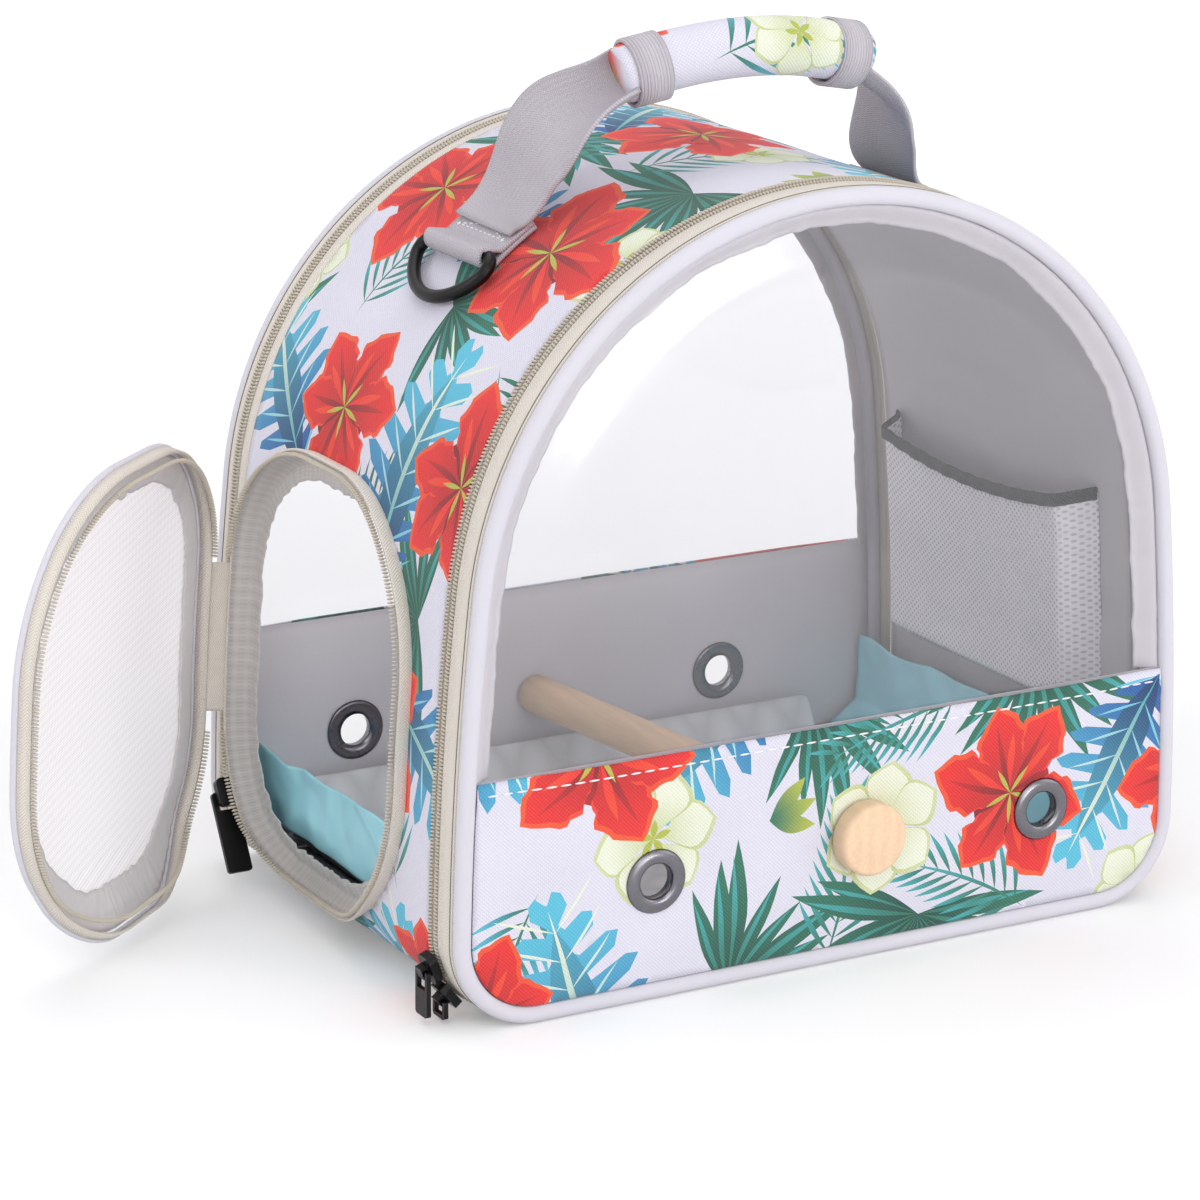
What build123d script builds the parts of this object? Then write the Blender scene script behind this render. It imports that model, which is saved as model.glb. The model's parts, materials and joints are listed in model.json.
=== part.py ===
from build123d import *
import math
import os

# Bird travel carrier: a soft D-arch cabin with a zipped clear door at each end, a zipped mesh
# door in the left wall, a perch bolted between the end doors and a padded carrying handle.
# Millimetres, +Z up, front at -Y. The origin is the centre of the base on the surface it stands on.

# ---- cabin outline, seen from the front -------------------------------------------------------
BODY_WIDTH = 280.0
BODY_HEIGHT = 262.0
BODY_DEPTH = 190.0           # over the piping
TOP_RADIUS_INSET = 6.0      # the top arc's radius is this much less than half the width
CORNER_RADIUS = 30.0
WIDEST_HEIGHT = 16.0        # height at which the side walls are widest

# ---- wall layers, from the outside in ---------------------------------------------------------
FABRIC = 1.2
FOAM = 3.0
LINING = 0.8
BASE_COVER_HEIGHT = 5.0     # the plain base cloth turns up this far round the corners
BASE_BOARD = 3.0
BASE_BOARD_CORNER = 8.0

# ---- end doors --------------------------------------------------------------------------------
PIPING_RADIUS = 3.0
HOOP_RADIUS = 1.2
HOOP_CLEARANCE = 0.05
RIM_INSET = 0.3
RIM_GAP = 0.15              # between the piping and the tape behind it
RIM_FABRIC = 1.2
FRONT_TAPE = 9.0            # zip tape on the door's side of the teeth
REAR_TAPE = 3.5
REAR_GUSSET_TAPE = 5.0      # zip tape that shows on the cabin's side of the rear teeth
COIL_WIDTH = 2.8
COIL_PROUD = 0.6
COIL_DEPTH = 1.8
ZIP_GAP = 0.3               # between the two rows of teeth
PANEL_SETBACK = 1.4         # band cloth behind the door's foremost plane
PANEL_CLOTH = 1.0
FILM = 0.6
FILM_LAP = 8.0              # the window film runs down behind the band
BAND_HEIGHT = 84.0
BAND_LINING = 0.8
FRILL = 1.2
FRILL_WIDTH = 7.0
PANEL_INSET = 6.1           # edge of the door's cloth and film, inside the piping
SCREW_HOLE_RADIUS = 2.4

# ---- grommets ---------------------------------------------------------------------------------
GROMMET_HOLE = 6.0
GROMMET_BARREL = 1.0
GROMMET_EDGE = 0.78
GROMMET_RADIUS = 11.0
GROMMET_FLANGE = 1.3
GROMMET_SPACING = 151.0
GROMMET_SHIFT = 8.5         # both end panels are cut alike, with the holes off centre
GROMMET_HEIGHT = 41.0
WASHER = 0.8
SEAT_GAP = 0.05

# ---- perch and knobs --------------------------------------------------------------------------
PERCH_RADIUS = 7.0
PERCH_SHIFT = 12.0          # the knob's distance off centre on each end panel
PERCH_HEIGHT = 44.0
KNOB_RADIUS = 12.5
KNOB_THICKNESS = 9.0
KNOB_EDGE = 3.0
SCREW_RADIUS = 1.8
SCREW_REACH = 7.0           # length of screw inside the perch
SCREW_CLEARANCE = 1.4
REST_GAP = 0.3

# ---- side door --------------------------------------------------------------------------------
SIDE_WIDTH = 128.0
SIDE_HEIGHT = 149.0
SIDE_BOTTOM = 13.5
SIDE_HINGE_GAP = 22.0       # between the cabin's rear and the opening's hinge edge
SIDE_HINGE_CORNER = 48.0
SIDE_FREE_CORNER = 58.0
SIDE_COLLAR = 4.0           # the zip tape that stands out of the wall
SIDE_TAPE = 4.5
SIDE_CLOTH = 1.2
SIDE_COIL = 2.4
SIDE_COIL_OUT = 1.6
SIDE_COIL_IN = 1.2
SIDE_PIPING = 3.0
SIDE_PIPING_HALF = 1.5
SIDE_MESH = 0.6
SIDE_BINDING = 1.2
SIDE_BINDING_WIDTH = 9.0
SIDE_FRILL_WIDTH = 8.0
SIDE_FRILL = 1.0
SIDE_AXIS_OFFSET = 2.4      # hinge axis behind the hinge edge of the opening
SIDE_ROLL = 1.2
SIDE_OPEN_ANGLE = 50.0      # the side door is stored open by this much

# ---- mesh pocket on the right wall ------------------------------------------------------------
POCKET_BULGE = 12.0
POCKET_MESH = 0.7
POCKET_FRONT_GAP = 37.0     # between the cabin's front and the pocket's seam
POCKET_REAR_GAP = 29.0
POCKET_BOTTOM = 54.0
POCKET_TOP = 142.0
POCKET_SEAM = 1.5
ELASTIC_HEIGHT = 7.0
ELASTIC_THICKNESS = 1.8

# ---- handle, anchors and D-rings --------------------------------------------------------------
WEBBING_WIDTH = 38.0
WEBBING = 1.6
ANCHOR_LOW_ANGLE = 40.0     # D-ring loop, in degrees down the arch from its top
ANCHOR_HIGH_ANGLE = 32.0    # upper end of the sewn part, where the strap leaves the arch
RING_WIRE = 2.25
RING_WIDTH = 50.0
RING_DEPTH = 24.0
RING_CORNER = 5.0
LOOP_CLEARANCE = 0.4
RING_LIE_ANGLE = 9.0        # the ring droops this far past the tangent until it lies on the arch
HANDLE_RISE = 61.0          # grip centre above the pivot
HANDLE_LEAN = 29.5          # the handle is stored leaning forward by this much
GRIP_LENGTH = 96.0
GRIP_RADIUS = 10.0
GRIP_CORE = 7.5
GRIP_SAG = 9.0              # the grip's middle stands this far above its ends
STRAP_START = 1.6           # the strap begins this far above the pivot
STRAP_TAPER = 0.8           # half-width gained for each millimetre up from the pivot
STRAP_POINT = 0.2           # half-width of the strap where it is gathered at the pivot

# ---- zip sliders and pulls --------------------------------------------------------------------
SLIDER_LENGTH = 10.0
SLIDER_WIDTH = 8.5
SLIDER_THICKNESS = 3.0
SLIDER_CLEARANCE = 0.3
SLIDER_ROUNDING = 0.3       # corner radius as a share of the slider's shorter side
LEAD_ANGLE = 70.5           # place on the corner arc, from straight below its centre
STOP_ANGLE = 50.0
BRIDGE = 4.0
BRIDGE_RISE = 2.7
BRIDGE_HOLE = 1.0
PULL_BAR = 0.7
PULL_THICKNESS = 1.6
PULL_WIDTH = 8.0
PULL_WINDOW = 5.2
PULL_ROUNDING = 1.2
PULL_SLACK = 1.0            # room in the pull's window past the bridge
LEAD_PULL_LENGTH = 15.0
RING_PULL_LENGTH = 5.8
SIDE_SLIDER_ANGLE = 32.0    # below level, on the lower hinge-side corner of the opening
SIDE_SLIDER_CLEARANCE = 0.6
SIDE_SLIDER_WIDTH = 6.5
SIDE_PULL_LENGTH = 28.0
SIDE_PULL_WIDTH = 9.0
SIDE_PULL_TILT = 30.0       # the pull lies along the teeth

# ---- floor pad --------------------------------------------------------------------------------
PAD_WALL_GAP = 12.5         # between the widest part of the wall and the turned-up film
PAD_SLOPE = 23.5            # width of the film's slope beside the core
PAD_END_GAP = 7.0           # between the end door's foremost plane and the pad
PAD_CORE = 3.4
PAD_FILM = 0.8
PAD_BEND_HEIGHT = 22.0
PAD_SIDE_HEIGHT = 48.0
PAD_END_HEIGHT = 32.0
PAD_GAP = 0.1

# ---- values worked out from the sizes above ---------------------------------------------------
HALF_WIDTH = BODY_WIDTH / 2
HALF_DEPTH = BODY_DEPTH / 2
TOP_RADIUS = HALF_WIDTH - TOP_RADIUS_INSET
TOP_CENTRE_Z = BODY_HEIGHT - TOP_RADIUS
SIDE_RISE = TOP_CENTRE_Z - WIDEST_HEIGHT
SIDE_RADIUS = (HALF_WIDTH**2 + SIDE_RISE**2 - TOP_RADIUS**2) / (2 * TOP_RADIUS_INSET)
SIDE_CENTRE_X = HALF_WIDTH - SIDE_RADIUS
CORNER_RISE = CORNER_RADIUS - WIDEST_HEIGHT
CORNER_X = SIDE_CENTRE_X + math.sqrt((SIDE_RADIUS - CORNER_RADIUS) ** 2 - CORNER_RISE**2)
ANCHOR_LOW_X = TOP_RADIUS * math.sin(math.radians(ANCHOR_LOW_ANGLE))
ANCHOR_HIGH_X = TOP_RADIUS * math.sin(math.radians(ANCHOR_HIGH_ANGLE))
SIDE_HINGE_Y = HALF_DEPTH - SIDE_HINGE_GAP
POCKET_FRONT_Y = POCKET_FRONT_GAP - HALF_DEPTH
POCKET_REAR_Y = HALF_DEPTH - POCKET_REAR_GAP
PAD_HALF_WIDTH = HALF_DEPTH - PAD_END_GAP
PAD_BEND_X = HALF_WIDTH - PAD_WALL_GAP
PAD_HALF_LENGTH = PAD_BEND_X - PAD_SLOPE
WALL = FABRIC + FOAM + LINING
RIM_DROP = PIPING_RADIUS - RIM_INSET - RIM_FABRIC
RIM_START = PIPING_RADIUS + math.sqrt(PIPING_RADIUS**2 - RIM_DROP**2) + RIM_GAP
LINING_BACK = PANEL_SETBACK + PANEL_CLOTH + FILM + BAND_LINING
FLOOR_TOP = WALL + BASE_BOARD
BIG = 2 * (BODY_WIDTH + BODY_HEIGHT + BODY_DEPTH)


def zip_depths(tape):
    """Depths from the door's foremost plane: the door's tape end, teeth gap and cabin teeth end."""
    tape_end = RIM_START + tape
    door_end = tape_end + COIL_WIDTH
    return tape_end, door_end, door_end + ZIP_GAP, door_end + ZIP_GAP + COIL_WIDTH


FRONT_CLOTH_Y = -HALF_DEPTH + zip_depths(FRONT_TAPE)[3]
REAR_CLOTH_Y = HALF_DEPTH - zip_depths(REAR_TAPE)[3] - REAR_GUSSET_TAPE


# ---- shapes that many pieces are cut from -----------------------------------------------------
def arch_points(inset):
    """Arc ends and middles of the right half outline, moved in by inset."""

    def polar(centre, radius, degrees):
        angle = math.radians(degrees)
        return (centre[0] + radius * math.cos(angle), 0, centre[1] + radius * math.sin(angle))

    top = (0, TOP_CENTRE_Z)
    side = (SIDE_CENTRE_X, WIDEST_HEIGHT)
    corner = (CORNER_X, CORNER_RADIUS)
    top_angle = math.degrees(math.atan2(top[1] - side[1], top[0] - side[0]))
    low_angle = math.degrees(math.atan2(corner[1] - side[1], corner[0] - side[0]))
    return [
        polar(corner, CORNER_RADIUS - inset, -90),
        polar(corner, CORNER_RADIUS - inset, (low_angle - 90) / 2),
        polar(corner, CORNER_RADIUS - inset, low_angle),
        polar(side, SIDE_RADIUS - inset, (low_angle + top_angle) / 2),
        polar(side, SIDE_RADIUS - inset, top_angle),
        polar(top, TOP_RADIUS - inset, 90),
    ]


def arch_wire(inset):
    """The cabin's closed outline in the XZ plane, moved in by inset."""
    low, low_mid, low_end, side_mid, side_end, crown = arch_points(inset)

    def left(point):
        return (-point[0], point[1], point[2])

    edges = [
        Edge.make_line(left(low), low),
        Edge.make_three_point_arc(low, low_mid, low_end),
        Edge.make_three_point_arc(low_end, side_mid, side_end),
        Edge.make_three_point_arc(side_end, crown, left(side_end)),
        Edge.make_three_point_arc(left(side_end), left(side_mid), left(low_end)),
        Edge.make_three_point_arc(left(low_end), left(low_mid), left(low)),
    ]
    return Wire(edges)


def arch_solid(inset, y0, y1):
    return extrude(Face(arch_wire(inset)).moved(Location((0, y0, 0))), y1 - y0, dir=(0, 1, 0))


def arch_shell(outer, inner, y0, y1):
    """The layer of wall between two insets, from y0 to y1."""
    return arch_solid(outer, y0, y1) - arch_solid(inner, y0 - 1, y1 + 1)


def block(x0, x1, y0, y1, z0, z1):
    return Location(((x0 + x1) / 2, (y0 + y1) / 2, (z0 + z1) / 2)) * Box(x1 - x0, y1 - y0, z1 - z0)


def above(height):
    return block(-BIG, BIG, -BIG, BIG, height, BIG)


def below(height):
    return block(-BIG, BIG, -BIG, BIG, -BIG, height)


def y_rod(radius, x, z, y0, y1):
    return Location((x, (y0 + y1) / 2, z), (90, 0, 0)) * Cylinder(radius, abs(y1 - y0))


def half_width(height, out=0.0):
    """Half the cabin's width at a height on the side arc or the corner."""
    if height < CORNER_RADIUS:
        return CORNER_X + math.sqrt((CORNER_RADIUS + out) ** 2 - (CORNER_RADIUS - height) ** 2)
    return SIDE_CENTRE_X + math.sqrt((SIDE_RADIUS + out) ** 2 - (height - WIDEST_HEIGHT) ** 2)


def arch_place(x, out):
    """A point on the top arc at x, standing out from it, with the slope there in degrees."""
    slope = math.asin(x / TOP_RADIUS)
    reach = TOP_RADIUS + out
    return reach * math.sin(slope), TOP_CENTRE_Z + reach * math.cos(slope), math.degrees(slope)


def side_outline(grow):
    """Solid through the left wall inside the side door's outline, moved out by grow."""
    y_free = SIDE_HINGE_Y - SIDE_WIDTH - grow
    y_hinge = SIDE_HINGE_Y + grow
    z_low = SIDE_BOTTOM - grow
    z_high = SIDE_BOTTOM + SIDE_HEIGHT + grow
    hinge_r = SIDE_HINGE_CORNER + grow
    free_r = SIDE_FREE_CORNER + grow
    with BuildSketch(Plane.YZ) as sketch:
        with BuildLine():
            Line((y_hinge, z_low + hinge_r), (y_hinge, z_high - hinge_r))
            CenterArc((y_hinge - hinge_r, z_high - hinge_r), hinge_r, 0, 90)
            Line((y_hinge - hinge_r, z_high), (y_free + free_r, z_high))
            CenterArc((y_free + free_r, z_high - free_r), free_r, 90, 90)
            Line((y_free, z_high - free_r), (y_free, z_low + free_r))
            CenterArc((y_free + free_r, z_low + free_r), free_r, 180, 90)
            Line((y_free + free_r, z_low), (y_hinge - hinge_r, z_low))
            CenterArc((y_hinge - hinge_r, z_low + hinge_r), hinge_r, 270, 90)
        make_face()
    return extrude(sketch.sketch.moved(Location((-BIG, 0, 0))), BIG, dir=(1, 0, 0))


def side_band(grow_out, grow_in, out_low, out_high):
    """A band round the side door, between two outlines and two distances out of the wall."""
    shell = arch_shell(-out_high, -out_low, -HALF_DEPTH, HALF_DEPTH)
    ring = side_outline(grow_out) - side_outline(grow_in)
    return shell & ring


def turn_z(shape):
    """The same piece on the other end of the cabin."""
    return shape.rotate(Axis.Z, 180)


def mirror_x(shape):
    return mirror(shape, about=Plane.YZ)


# ---- cabin ------------------------------------------------------------------------------------
def make_cabin():
    opening = side_outline(SIDE_CLOTH)
    cover_y = HALF_DEPTH - 2 * PIPING_RADIUS - REST_GAP
    yield "base_cover", arch_shell(0, FABRIC, -cover_y, cover_y) & below(BASE_COVER_HEIGHT)
    cloth = arch_shell(0, FABRIC, FRONT_CLOTH_Y, REAR_CLOTH_Y) & above(BASE_COVER_HEIGHT)
    yield "gusset_fabric", cloth - opening
    foam = arch_shell(FABRIC, FABRIC + FOAM, FRONT_CLOTH_Y, REAR_CLOTH_Y)
    yield "gusset_foam", foam - opening
    lining = arch_shell(FABRIC + FOAM, WALL, FRONT_CLOTH_Y, REAR_CLOTH_Y)
    yield "gusset_lining", lining - opening
    board_y = HALF_DEPTH - 2 * PIPING_RADIUS - REST_GAP
    board = block(-CORNER_X, CORNER_X, -board_y, board_y, WALL, FLOOR_TOP)
    yield "base_board", fillet(board.edges().filter_by(Axis.Z), BASE_BOARD_CORNER)
    yield "front_gusset_coil", gusset_coil(FRONT_TAPE)
    yield "rear_gusset_coil", turn_z(gusset_coil(REAR_TAPE))
    tape_y = REAR_CLOTH_Y + REAR_GUSSET_TAPE
    tape = arch_shell(0, FABRIC, REAR_CLOTH_Y, tape_y) & above(BASE_COVER_HEIGHT)
    yield "rear_gusset_tape", tape - opening


def gusset_coil(tape):
    start, end = zip_depths(tape)[2:]
    coil = arch_shell(-COIL_PROUD, COIL_DEPTH - COIL_PROUD, start - HALF_DEPTH, end - HALF_DEPTH)
    return coil & above(BASE_COVER_HEIGHT)


def make_side_frame():
    """The collar, teeth and gathered lining round the opening in the left wall."""
    zip_only = side_zip_cut()
    yield "side_rim_tape", side_band(SIDE_CLOTH, 0, -WALL, SIDE_COLLAR)
    coil = side_band(SIDE_COIL_OUT, -SIDE_COIL_IN, SIDE_COLLAR, SIDE_COLLAR + SIDE_COIL)
    yield "side_rim_coil", coil - zip_only
    yield "side_rim_frill", side_band(0, -SIDE_FRILL_WIDTH, -WALL, SIDE_FRILL - WALL)


def side_zip_cut():
    """The straight hinge edge of the side door, where there are no teeth."""
    z_low = SIDE_BOTTOM + SIDE_HINGE_CORNER
    z_high = SIDE_BOTTOM + SIDE_HEIGHT - SIDE_HINGE_CORNER
    return block(-BIG, 0, SIDE_HINGE_Y - SIDE_HINGE_CORNER, BIG, z_low, z_high)


def make_pocket():
    """A mesh pocket on the right wall, open at the top, with an elastic edge."""
    inner = WALL + POCKET_BULGE
    span = block(0, BIG, POCKET_FRONT_Y, POCKET_REAR_Y, POCKET_BOTTOM, POCKET_TOP)
    hollow = block(
        0, BIG, POCKET_FRONT_Y + POCKET_SEAM, POCKET_REAR_Y - POCKET_SEAM, POCKET_BOTTOM + POCKET_SEAM, BIG
    )
    shell = arch_shell(WALL, inner + POCKET_MESH, POCKET_FRONT_Y, POCKET_REAR_Y) & span
    yield "mesh_pocket", shell - (arch_shell(WALL - 1, inner, POCKET_FRONT_Y, POCKET_REAR_Y) & hollow)
    back = inner + POCKET_MESH
    edge = arch_shell(back, back + ELASTIC_THICKNESS, POCKET_FRONT_Y, POCKET_REAR_Y)
    edge &= block(0, BIG, POCKET_FRONT_Y, POCKET_REAR_Y, POCKET_TOP - ELASTIC_HEIGHT, POCKET_TOP)
    yield "pocket_elastic", edge


# ---- end doors --------------------------------------------------------------------------------
def round_edge(radius):
    """A round cord along the door's outline, at the middle of the piping."""
    path = arch_wire(PIPING_RADIUS).moved(Location((0, PIPING_RADIUS - HALF_DEPTH, 0)))
    start = path.edges()[0]
    section = Plane(origin=start @ 0, z_dir=start % 0) * Circle(radius)
    return sweep(section, path=path)


def panel(front, thickness, inset=PANEL_INSET):
    """A flat sheet in the end door, from a depth behind the door's foremost plane."""
    return arch_solid(inset, front - HALF_DEPTH, front - HALF_DEPTH + thickness)


def grommet_places():
    return [(GROMMET_SHIFT + side * GROMMET_SPACING / 2, GROMMET_HEIGHT) for side in (-1, 1)]


def band_holes():
    barrel = GROMMET_HOLE + GROMMET_BARREL + SEAT_GAP
    holes = y_rod(SCREW_HOLE_RADIUS, PERCH_SHIFT, PERCH_HEIGHT, -HALF_DEPTH - 1, 0)
    for x, z in grommet_places():
        holes += y_rod(barrel, x, z, -HALF_DEPTH - 1, 0)
    return holes


def make_end_door(tape):
    """The pieces of one end door, as at the front."""
    tape_end, coil_end = zip_depths(tape)[:2]
    film_front = PANEL_SETBACK + PANEL_CLOTH
    inner_front = film_front + FILM
    holes = band_holes()
    zip_part = above(BASE_COVER_HEIGHT + REST_GAP)
    yield "piping", round_edge(PIPING_RADIUS) - round_edge(HOOP_RADIUS + HOOP_CLEARANCE)
    yield "hoop_wire", round_edge(HOOP_RADIUS)
    rim = arch_shell(RIM_INSET, RIM_INSET + RIM_FABRIC, RIM_START - HALF_DEPTH, tape_end - HALF_DEPTH)
    yield "rim_tape", rim & zip_part
    coil = arch_shell(-COIL_PROUD, COIL_DEPTH - COIL_PROUD, tape_end - HALF_DEPTH, coil_end - HALF_DEPTH)
    yield "door_coil", coil & zip_part
    yield "window", panel(film_front, FILM) & above(BAND_HEIGHT - FILM_LAP)
    yield "band_fabric", (panel(PANEL_SETBACK, PANEL_CLOTH) & below(BAND_HEIGHT)) - holes
    yield "band_lining", (panel(inner_front, BAND_LINING) & below(BAND_HEIGHT)) - holes
    frill = panel(inner_front, FRILL) - panel(inner_front, FRILL, PANEL_INSET + FRILL_WIDTH)
    yield "frill", frill & above(BAND_HEIGHT)
    yield "grommets", Compound(children=[solid for place in grommet_places() for solid in grommet(*place)])


def grommet(x, z):
    """One eyelet and its washer."""
    front = PANEL_SETBACK - HALF_DEPTH
    back = LINING_BACK - HALF_DEPTH
    barrel = GROMMET_HOLE + GROMMET_BARREL
    flange = y_rod(GROMMET_RADIUS, x, z, front - GROMMET_FLANGE, front)
    flange = fillet(flange.edges().group_by(Axis.Y)[0], GROMMET_EDGE)
    eyelet = flange + y_rod(barrel, x, z, front, back + WASHER)
    eyelet -= y_rod(GROMMET_HOLE, x, z, front - BIG, back + BIG)
    washer = y_rod(GROMMET_RADIUS, x, z, back, back + WASHER)
    washer -= y_rod(barrel + SEAT_GAP, x, z, back - WASHER, back + 2 * WASHER)
    return eyelet.solids() + washer.solids()


# ---- perch ------------------------------------------------------------------------------------
def make_perch():
    """A dowel that runs askew between the two off-centre holes, and the knobs that hold it."""
    end_y = HALF_DEPTH - LINING_BACK - REST_GAP
    reach = HALF_DEPTH
    run = Vector(2 * PERCH_SHIFT, -2 * reach, 0)
    middle = Plane(origin=(0, 0, PERCH_HEIGHT), z_dir=run)
    dowel = middle * Cylinder(PERCH_RADIUS, run.length + 4 * PERCH_RADIUS)
    dowel &= block(-BIG, BIG, -end_y, end_y, 0, BIG)
    bore_start = HALF_DEPTH - LINING_BACK - REST_GAP - SCREW_REACH - 1
    bore = y_rod(SCREW_RADIUS + SCREW_CLEARANCE, PERCH_SHIFT, PERCH_HEIGHT, -end_y - 1, -bore_start)
    yield "perch_dowel", dowel - bore - turn_z(bore)


def make_knob():
    """A turned knob and its screw, as at the front."""
    seat = PANEL_SETBACK - HALF_DEPTH - REST_GAP
    knob = y_rod(KNOB_RADIUS, PERCH_SHIFT, PERCH_HEIGHT, seat - KNOB_THICKNESS, seat)
    yield "knob", fillet(knob.edges().group_by(Axis.Y)[0], KNOB_EDGE)
    screw_end = LINING_BACK + REST_GAP + SCREW_REACH - HALF_DEPTH
    yield "knob_screw", y_rod(SCREW_RADIUS, PERCH_SHIFT, PERCH_HEIGHT, seat, screw_end)


# ---- side door --------------------------------------------------------------------------------
SIDE_DOOR_START = SIDE_COLLAR + SIDE_COIL + ZIP_GAP
SIDE_TAPE_START = SIDE_DOOR_START + SIDE_COIL
SIDE_PIPING_START = SIDE_TAPE_START + SIDE_TAPE
SIDE_AXIS_X = -half_width(SIDE_BOTTOM + SIDE_HEIGHT / 2) - SIDE_DOOR_START + ZIP_GAP / 2
SIDE_AXIS_Y = SIDE_HINGE_Y + SIDE_AXIS_OFFSET


def make_side_door():
    """The side door's pieces, turned open about the hinge."""
    mesh_start = SIDE_PIPING_START + (SIDE_PIPING - SIDE_MESH) / 2
    z_low = SIDE_BOTTOM + SIDE_HINGE_CORNER
    z_high = SIDE_BOTTOM + SIDE_HEIGHT - SIDE_HINGE_CORNER
    tape = side_band(SIDE_CLOTH, 0, SIDE_TAPE_START, SIDE_PIPING_START)
    roll = Location((SIDE_AXIS_X, SIDE_AXIS_Y, (z_low + z_high) / 2)) * Cylinder(SIDE_ROLL, z_high - z_low)
    web = arch_shell(-SIDE_PIPING_START, -SIDE_DOOR_START, SIDE_HINGE_Y, SIDE_AXIS_Y)
    web &= block(-BIG, 0, SIDE_HINGE_Y, SIDE_AXIS_Y, z_low, z_high)
    coil = side_band(SIDE_COIL_OUT, -SIDE_COIL_IN, SIDE_DOOR_START, SIDE_TAPE_START)
    shell = arch_shell(-mesh_start - SIDE_MESH, -mesh_start, -HALF_DEPTH, HALF_DEPTH)
    pieces = {
        "side_door_tape": tape + roll + web,
        "side_door_coil": coil - side_zip_cut(),
        "side_piping": side_band(
            SIDE_PIPING_HALF, -SIDE_PIPING_HALF, SIDE_PIPING_START, SIDE_PIPING_START + SIDE_PIPING
        ),
        "side_mesh": shell & side_outline(-SIDE_PIPING_HALF),
        "side_binding": side_band(
            -SIDE_PIPING_HALF, -SIDE_PIPING_HALF - SIDE_BINDING_WIDTH, mesh_start - SIDE_BINDING, mesh_start
        ),
    }
    axis = Axis((SIDE_AXIS_X, SIDE_AXIS_Y, 0), (0, 0, 1))
    for name, piece in pieces.items():
        yield name, piece.rotate(axis, -SIDE_OPEN_ANGLE)


# ---- sliders and pulls ------------------------------------------------------------------------
def slider_body(length, width, thickness):
    """A slider lying on the XY plane, its track along X, with a bridge for the pull's bar."""
    body = Box(length, width, thickness, align=(Align.CENTER, Align.CENTER, Align.MIN))
    body = fillet(body.edges().filter_by(Axis.Z), min(length, width) * SLIDER_ROUNDING)
    bridge = Box(BRIDGE, BRIDGE, BRIDGE_RISE, align=(Align.CENTER, Align.CENTER, Align.MIN))
    bridge = Pos(0, 0, thickness) * bridge
    bar_hole = Pos(0, 0, thickness + BRIDGE_RISE / 2) * Rot(90, 0, 0) * Cylinder(BRIDGE_HOLE, 2 * width)
    return body + bridge - bar_hole


def pull(length, width):
    """A flat pull that hangs down from a bar along Y at the origin."""
    height = length + PULL_BAR
    plate = Pos(0, 0, PULL_BAR - height / 2) * Box(PULL_THICKNESS, width, height)
    plate = fillet(plate.edges().filter_by(Axis.X), PULL_ROUNDING)
    window_height = min(BRIDGE + PULL_SLACK, length - 3 * PULL_BAR)
    window = Pos(0, 0, -PULL_BAR - window_height / 2) * Box(2 * PULL_THICKNESS, PULL_WINDOW, window_height)
    cut_back = Box(4 * PULL_BAR, PULL_WINDOW, 2 * PULL_BAR + PULL_SLACK)
    bar = Rot(90, 0, 0) * Cylinder(PULL_BAR, width - 2 * PULL_ROUNDING)
    return plate - window - cut_back + bar


def on_corner(angle, out, tape):
    """A place on the front left corner arc, over the teeth, with Z pointing out of the wall."""
    slant = math.radians(angle)
    reach = CORNER_RADIUS + out
    y = zip_depths(tape)[1] + ZIP_GAP / 2 - HALF_DEPTH
    x = -CORNER_X - reach * math.sin(slant)
    z = CORNER_RADIUS - reach * math.cos(slant)
    return x, y, z


def corner_slider(angle, tape):
    x, y, z = on_corner(angle, COIL_PROUD + SLIDER_CLEARANCE, tape)
    slant = math.radians(angle)
    along = Vector(-math.cos(slant), 0, math.sin(slant))
    outward = Vector(-math.sin(slant), 0, -math.cos(slant))
    seat = Plane(origin=(x, y, z), x_dir=along, z_dir=outward)
    return seat * slider_body(SLIDER_LENGTH, SLIDER_WIDTH, SLIDER_THICKNESS)


PIVOT_OUT = COIL_PROUD + SLIDER_CLEARANCE + SLIDER_THICKNESS + BRIDGE_RISE / 2


def make_sliders():
    yield "front_slider_lead", corner_slider(LEAD_ANGLE, FRONT_TAPE)
    yield "front_slider_stop", corner_slider(STOP_ANGLE, FRONT_TAPE)
    lead = pull(LEAD_PULL_LENGTH, PULL_WIDTH)
    yield "front_lead_pull", Pos(*on_corner(LEAD_ANGLE, PIVOT_OUT, FRONT_TAPE)) * lead
    ring = pull(RING_PULL_LENGTH, PULL_WIDTH)
    yield "front_stop_ring", Pos(*on_corner(STOP_ANGLE, PIVOT_OUT, FRONT_TAPE)) * ring
    yield "rear_slider", turn_z(corner_slider(LEAD_ANGLE, REAR_TAPE))
    yield "rear_pull", turn_z(Pos(*on_corner(LEAD_ANGLE, PIVOT_OUT, REAR_TAPE)) * lead)


def side_track(out):
    """A place outside the lower hinge-side corner of the opening: y and z."""
    slant = math.radians(SIDE_SLIDER_ANGLE)
    reach = SIDE_HINGE_CORNER + SIDE_COIL_OUT + out
    y = SIDE_HINGE_Y - SIDE_HINGE_CORNER + reach * math.cos(slant)
    z = SIDE_BOTTOM + SIDE_HINGE_CORNER - reach * math.sin(slant)
    return y, z


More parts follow.
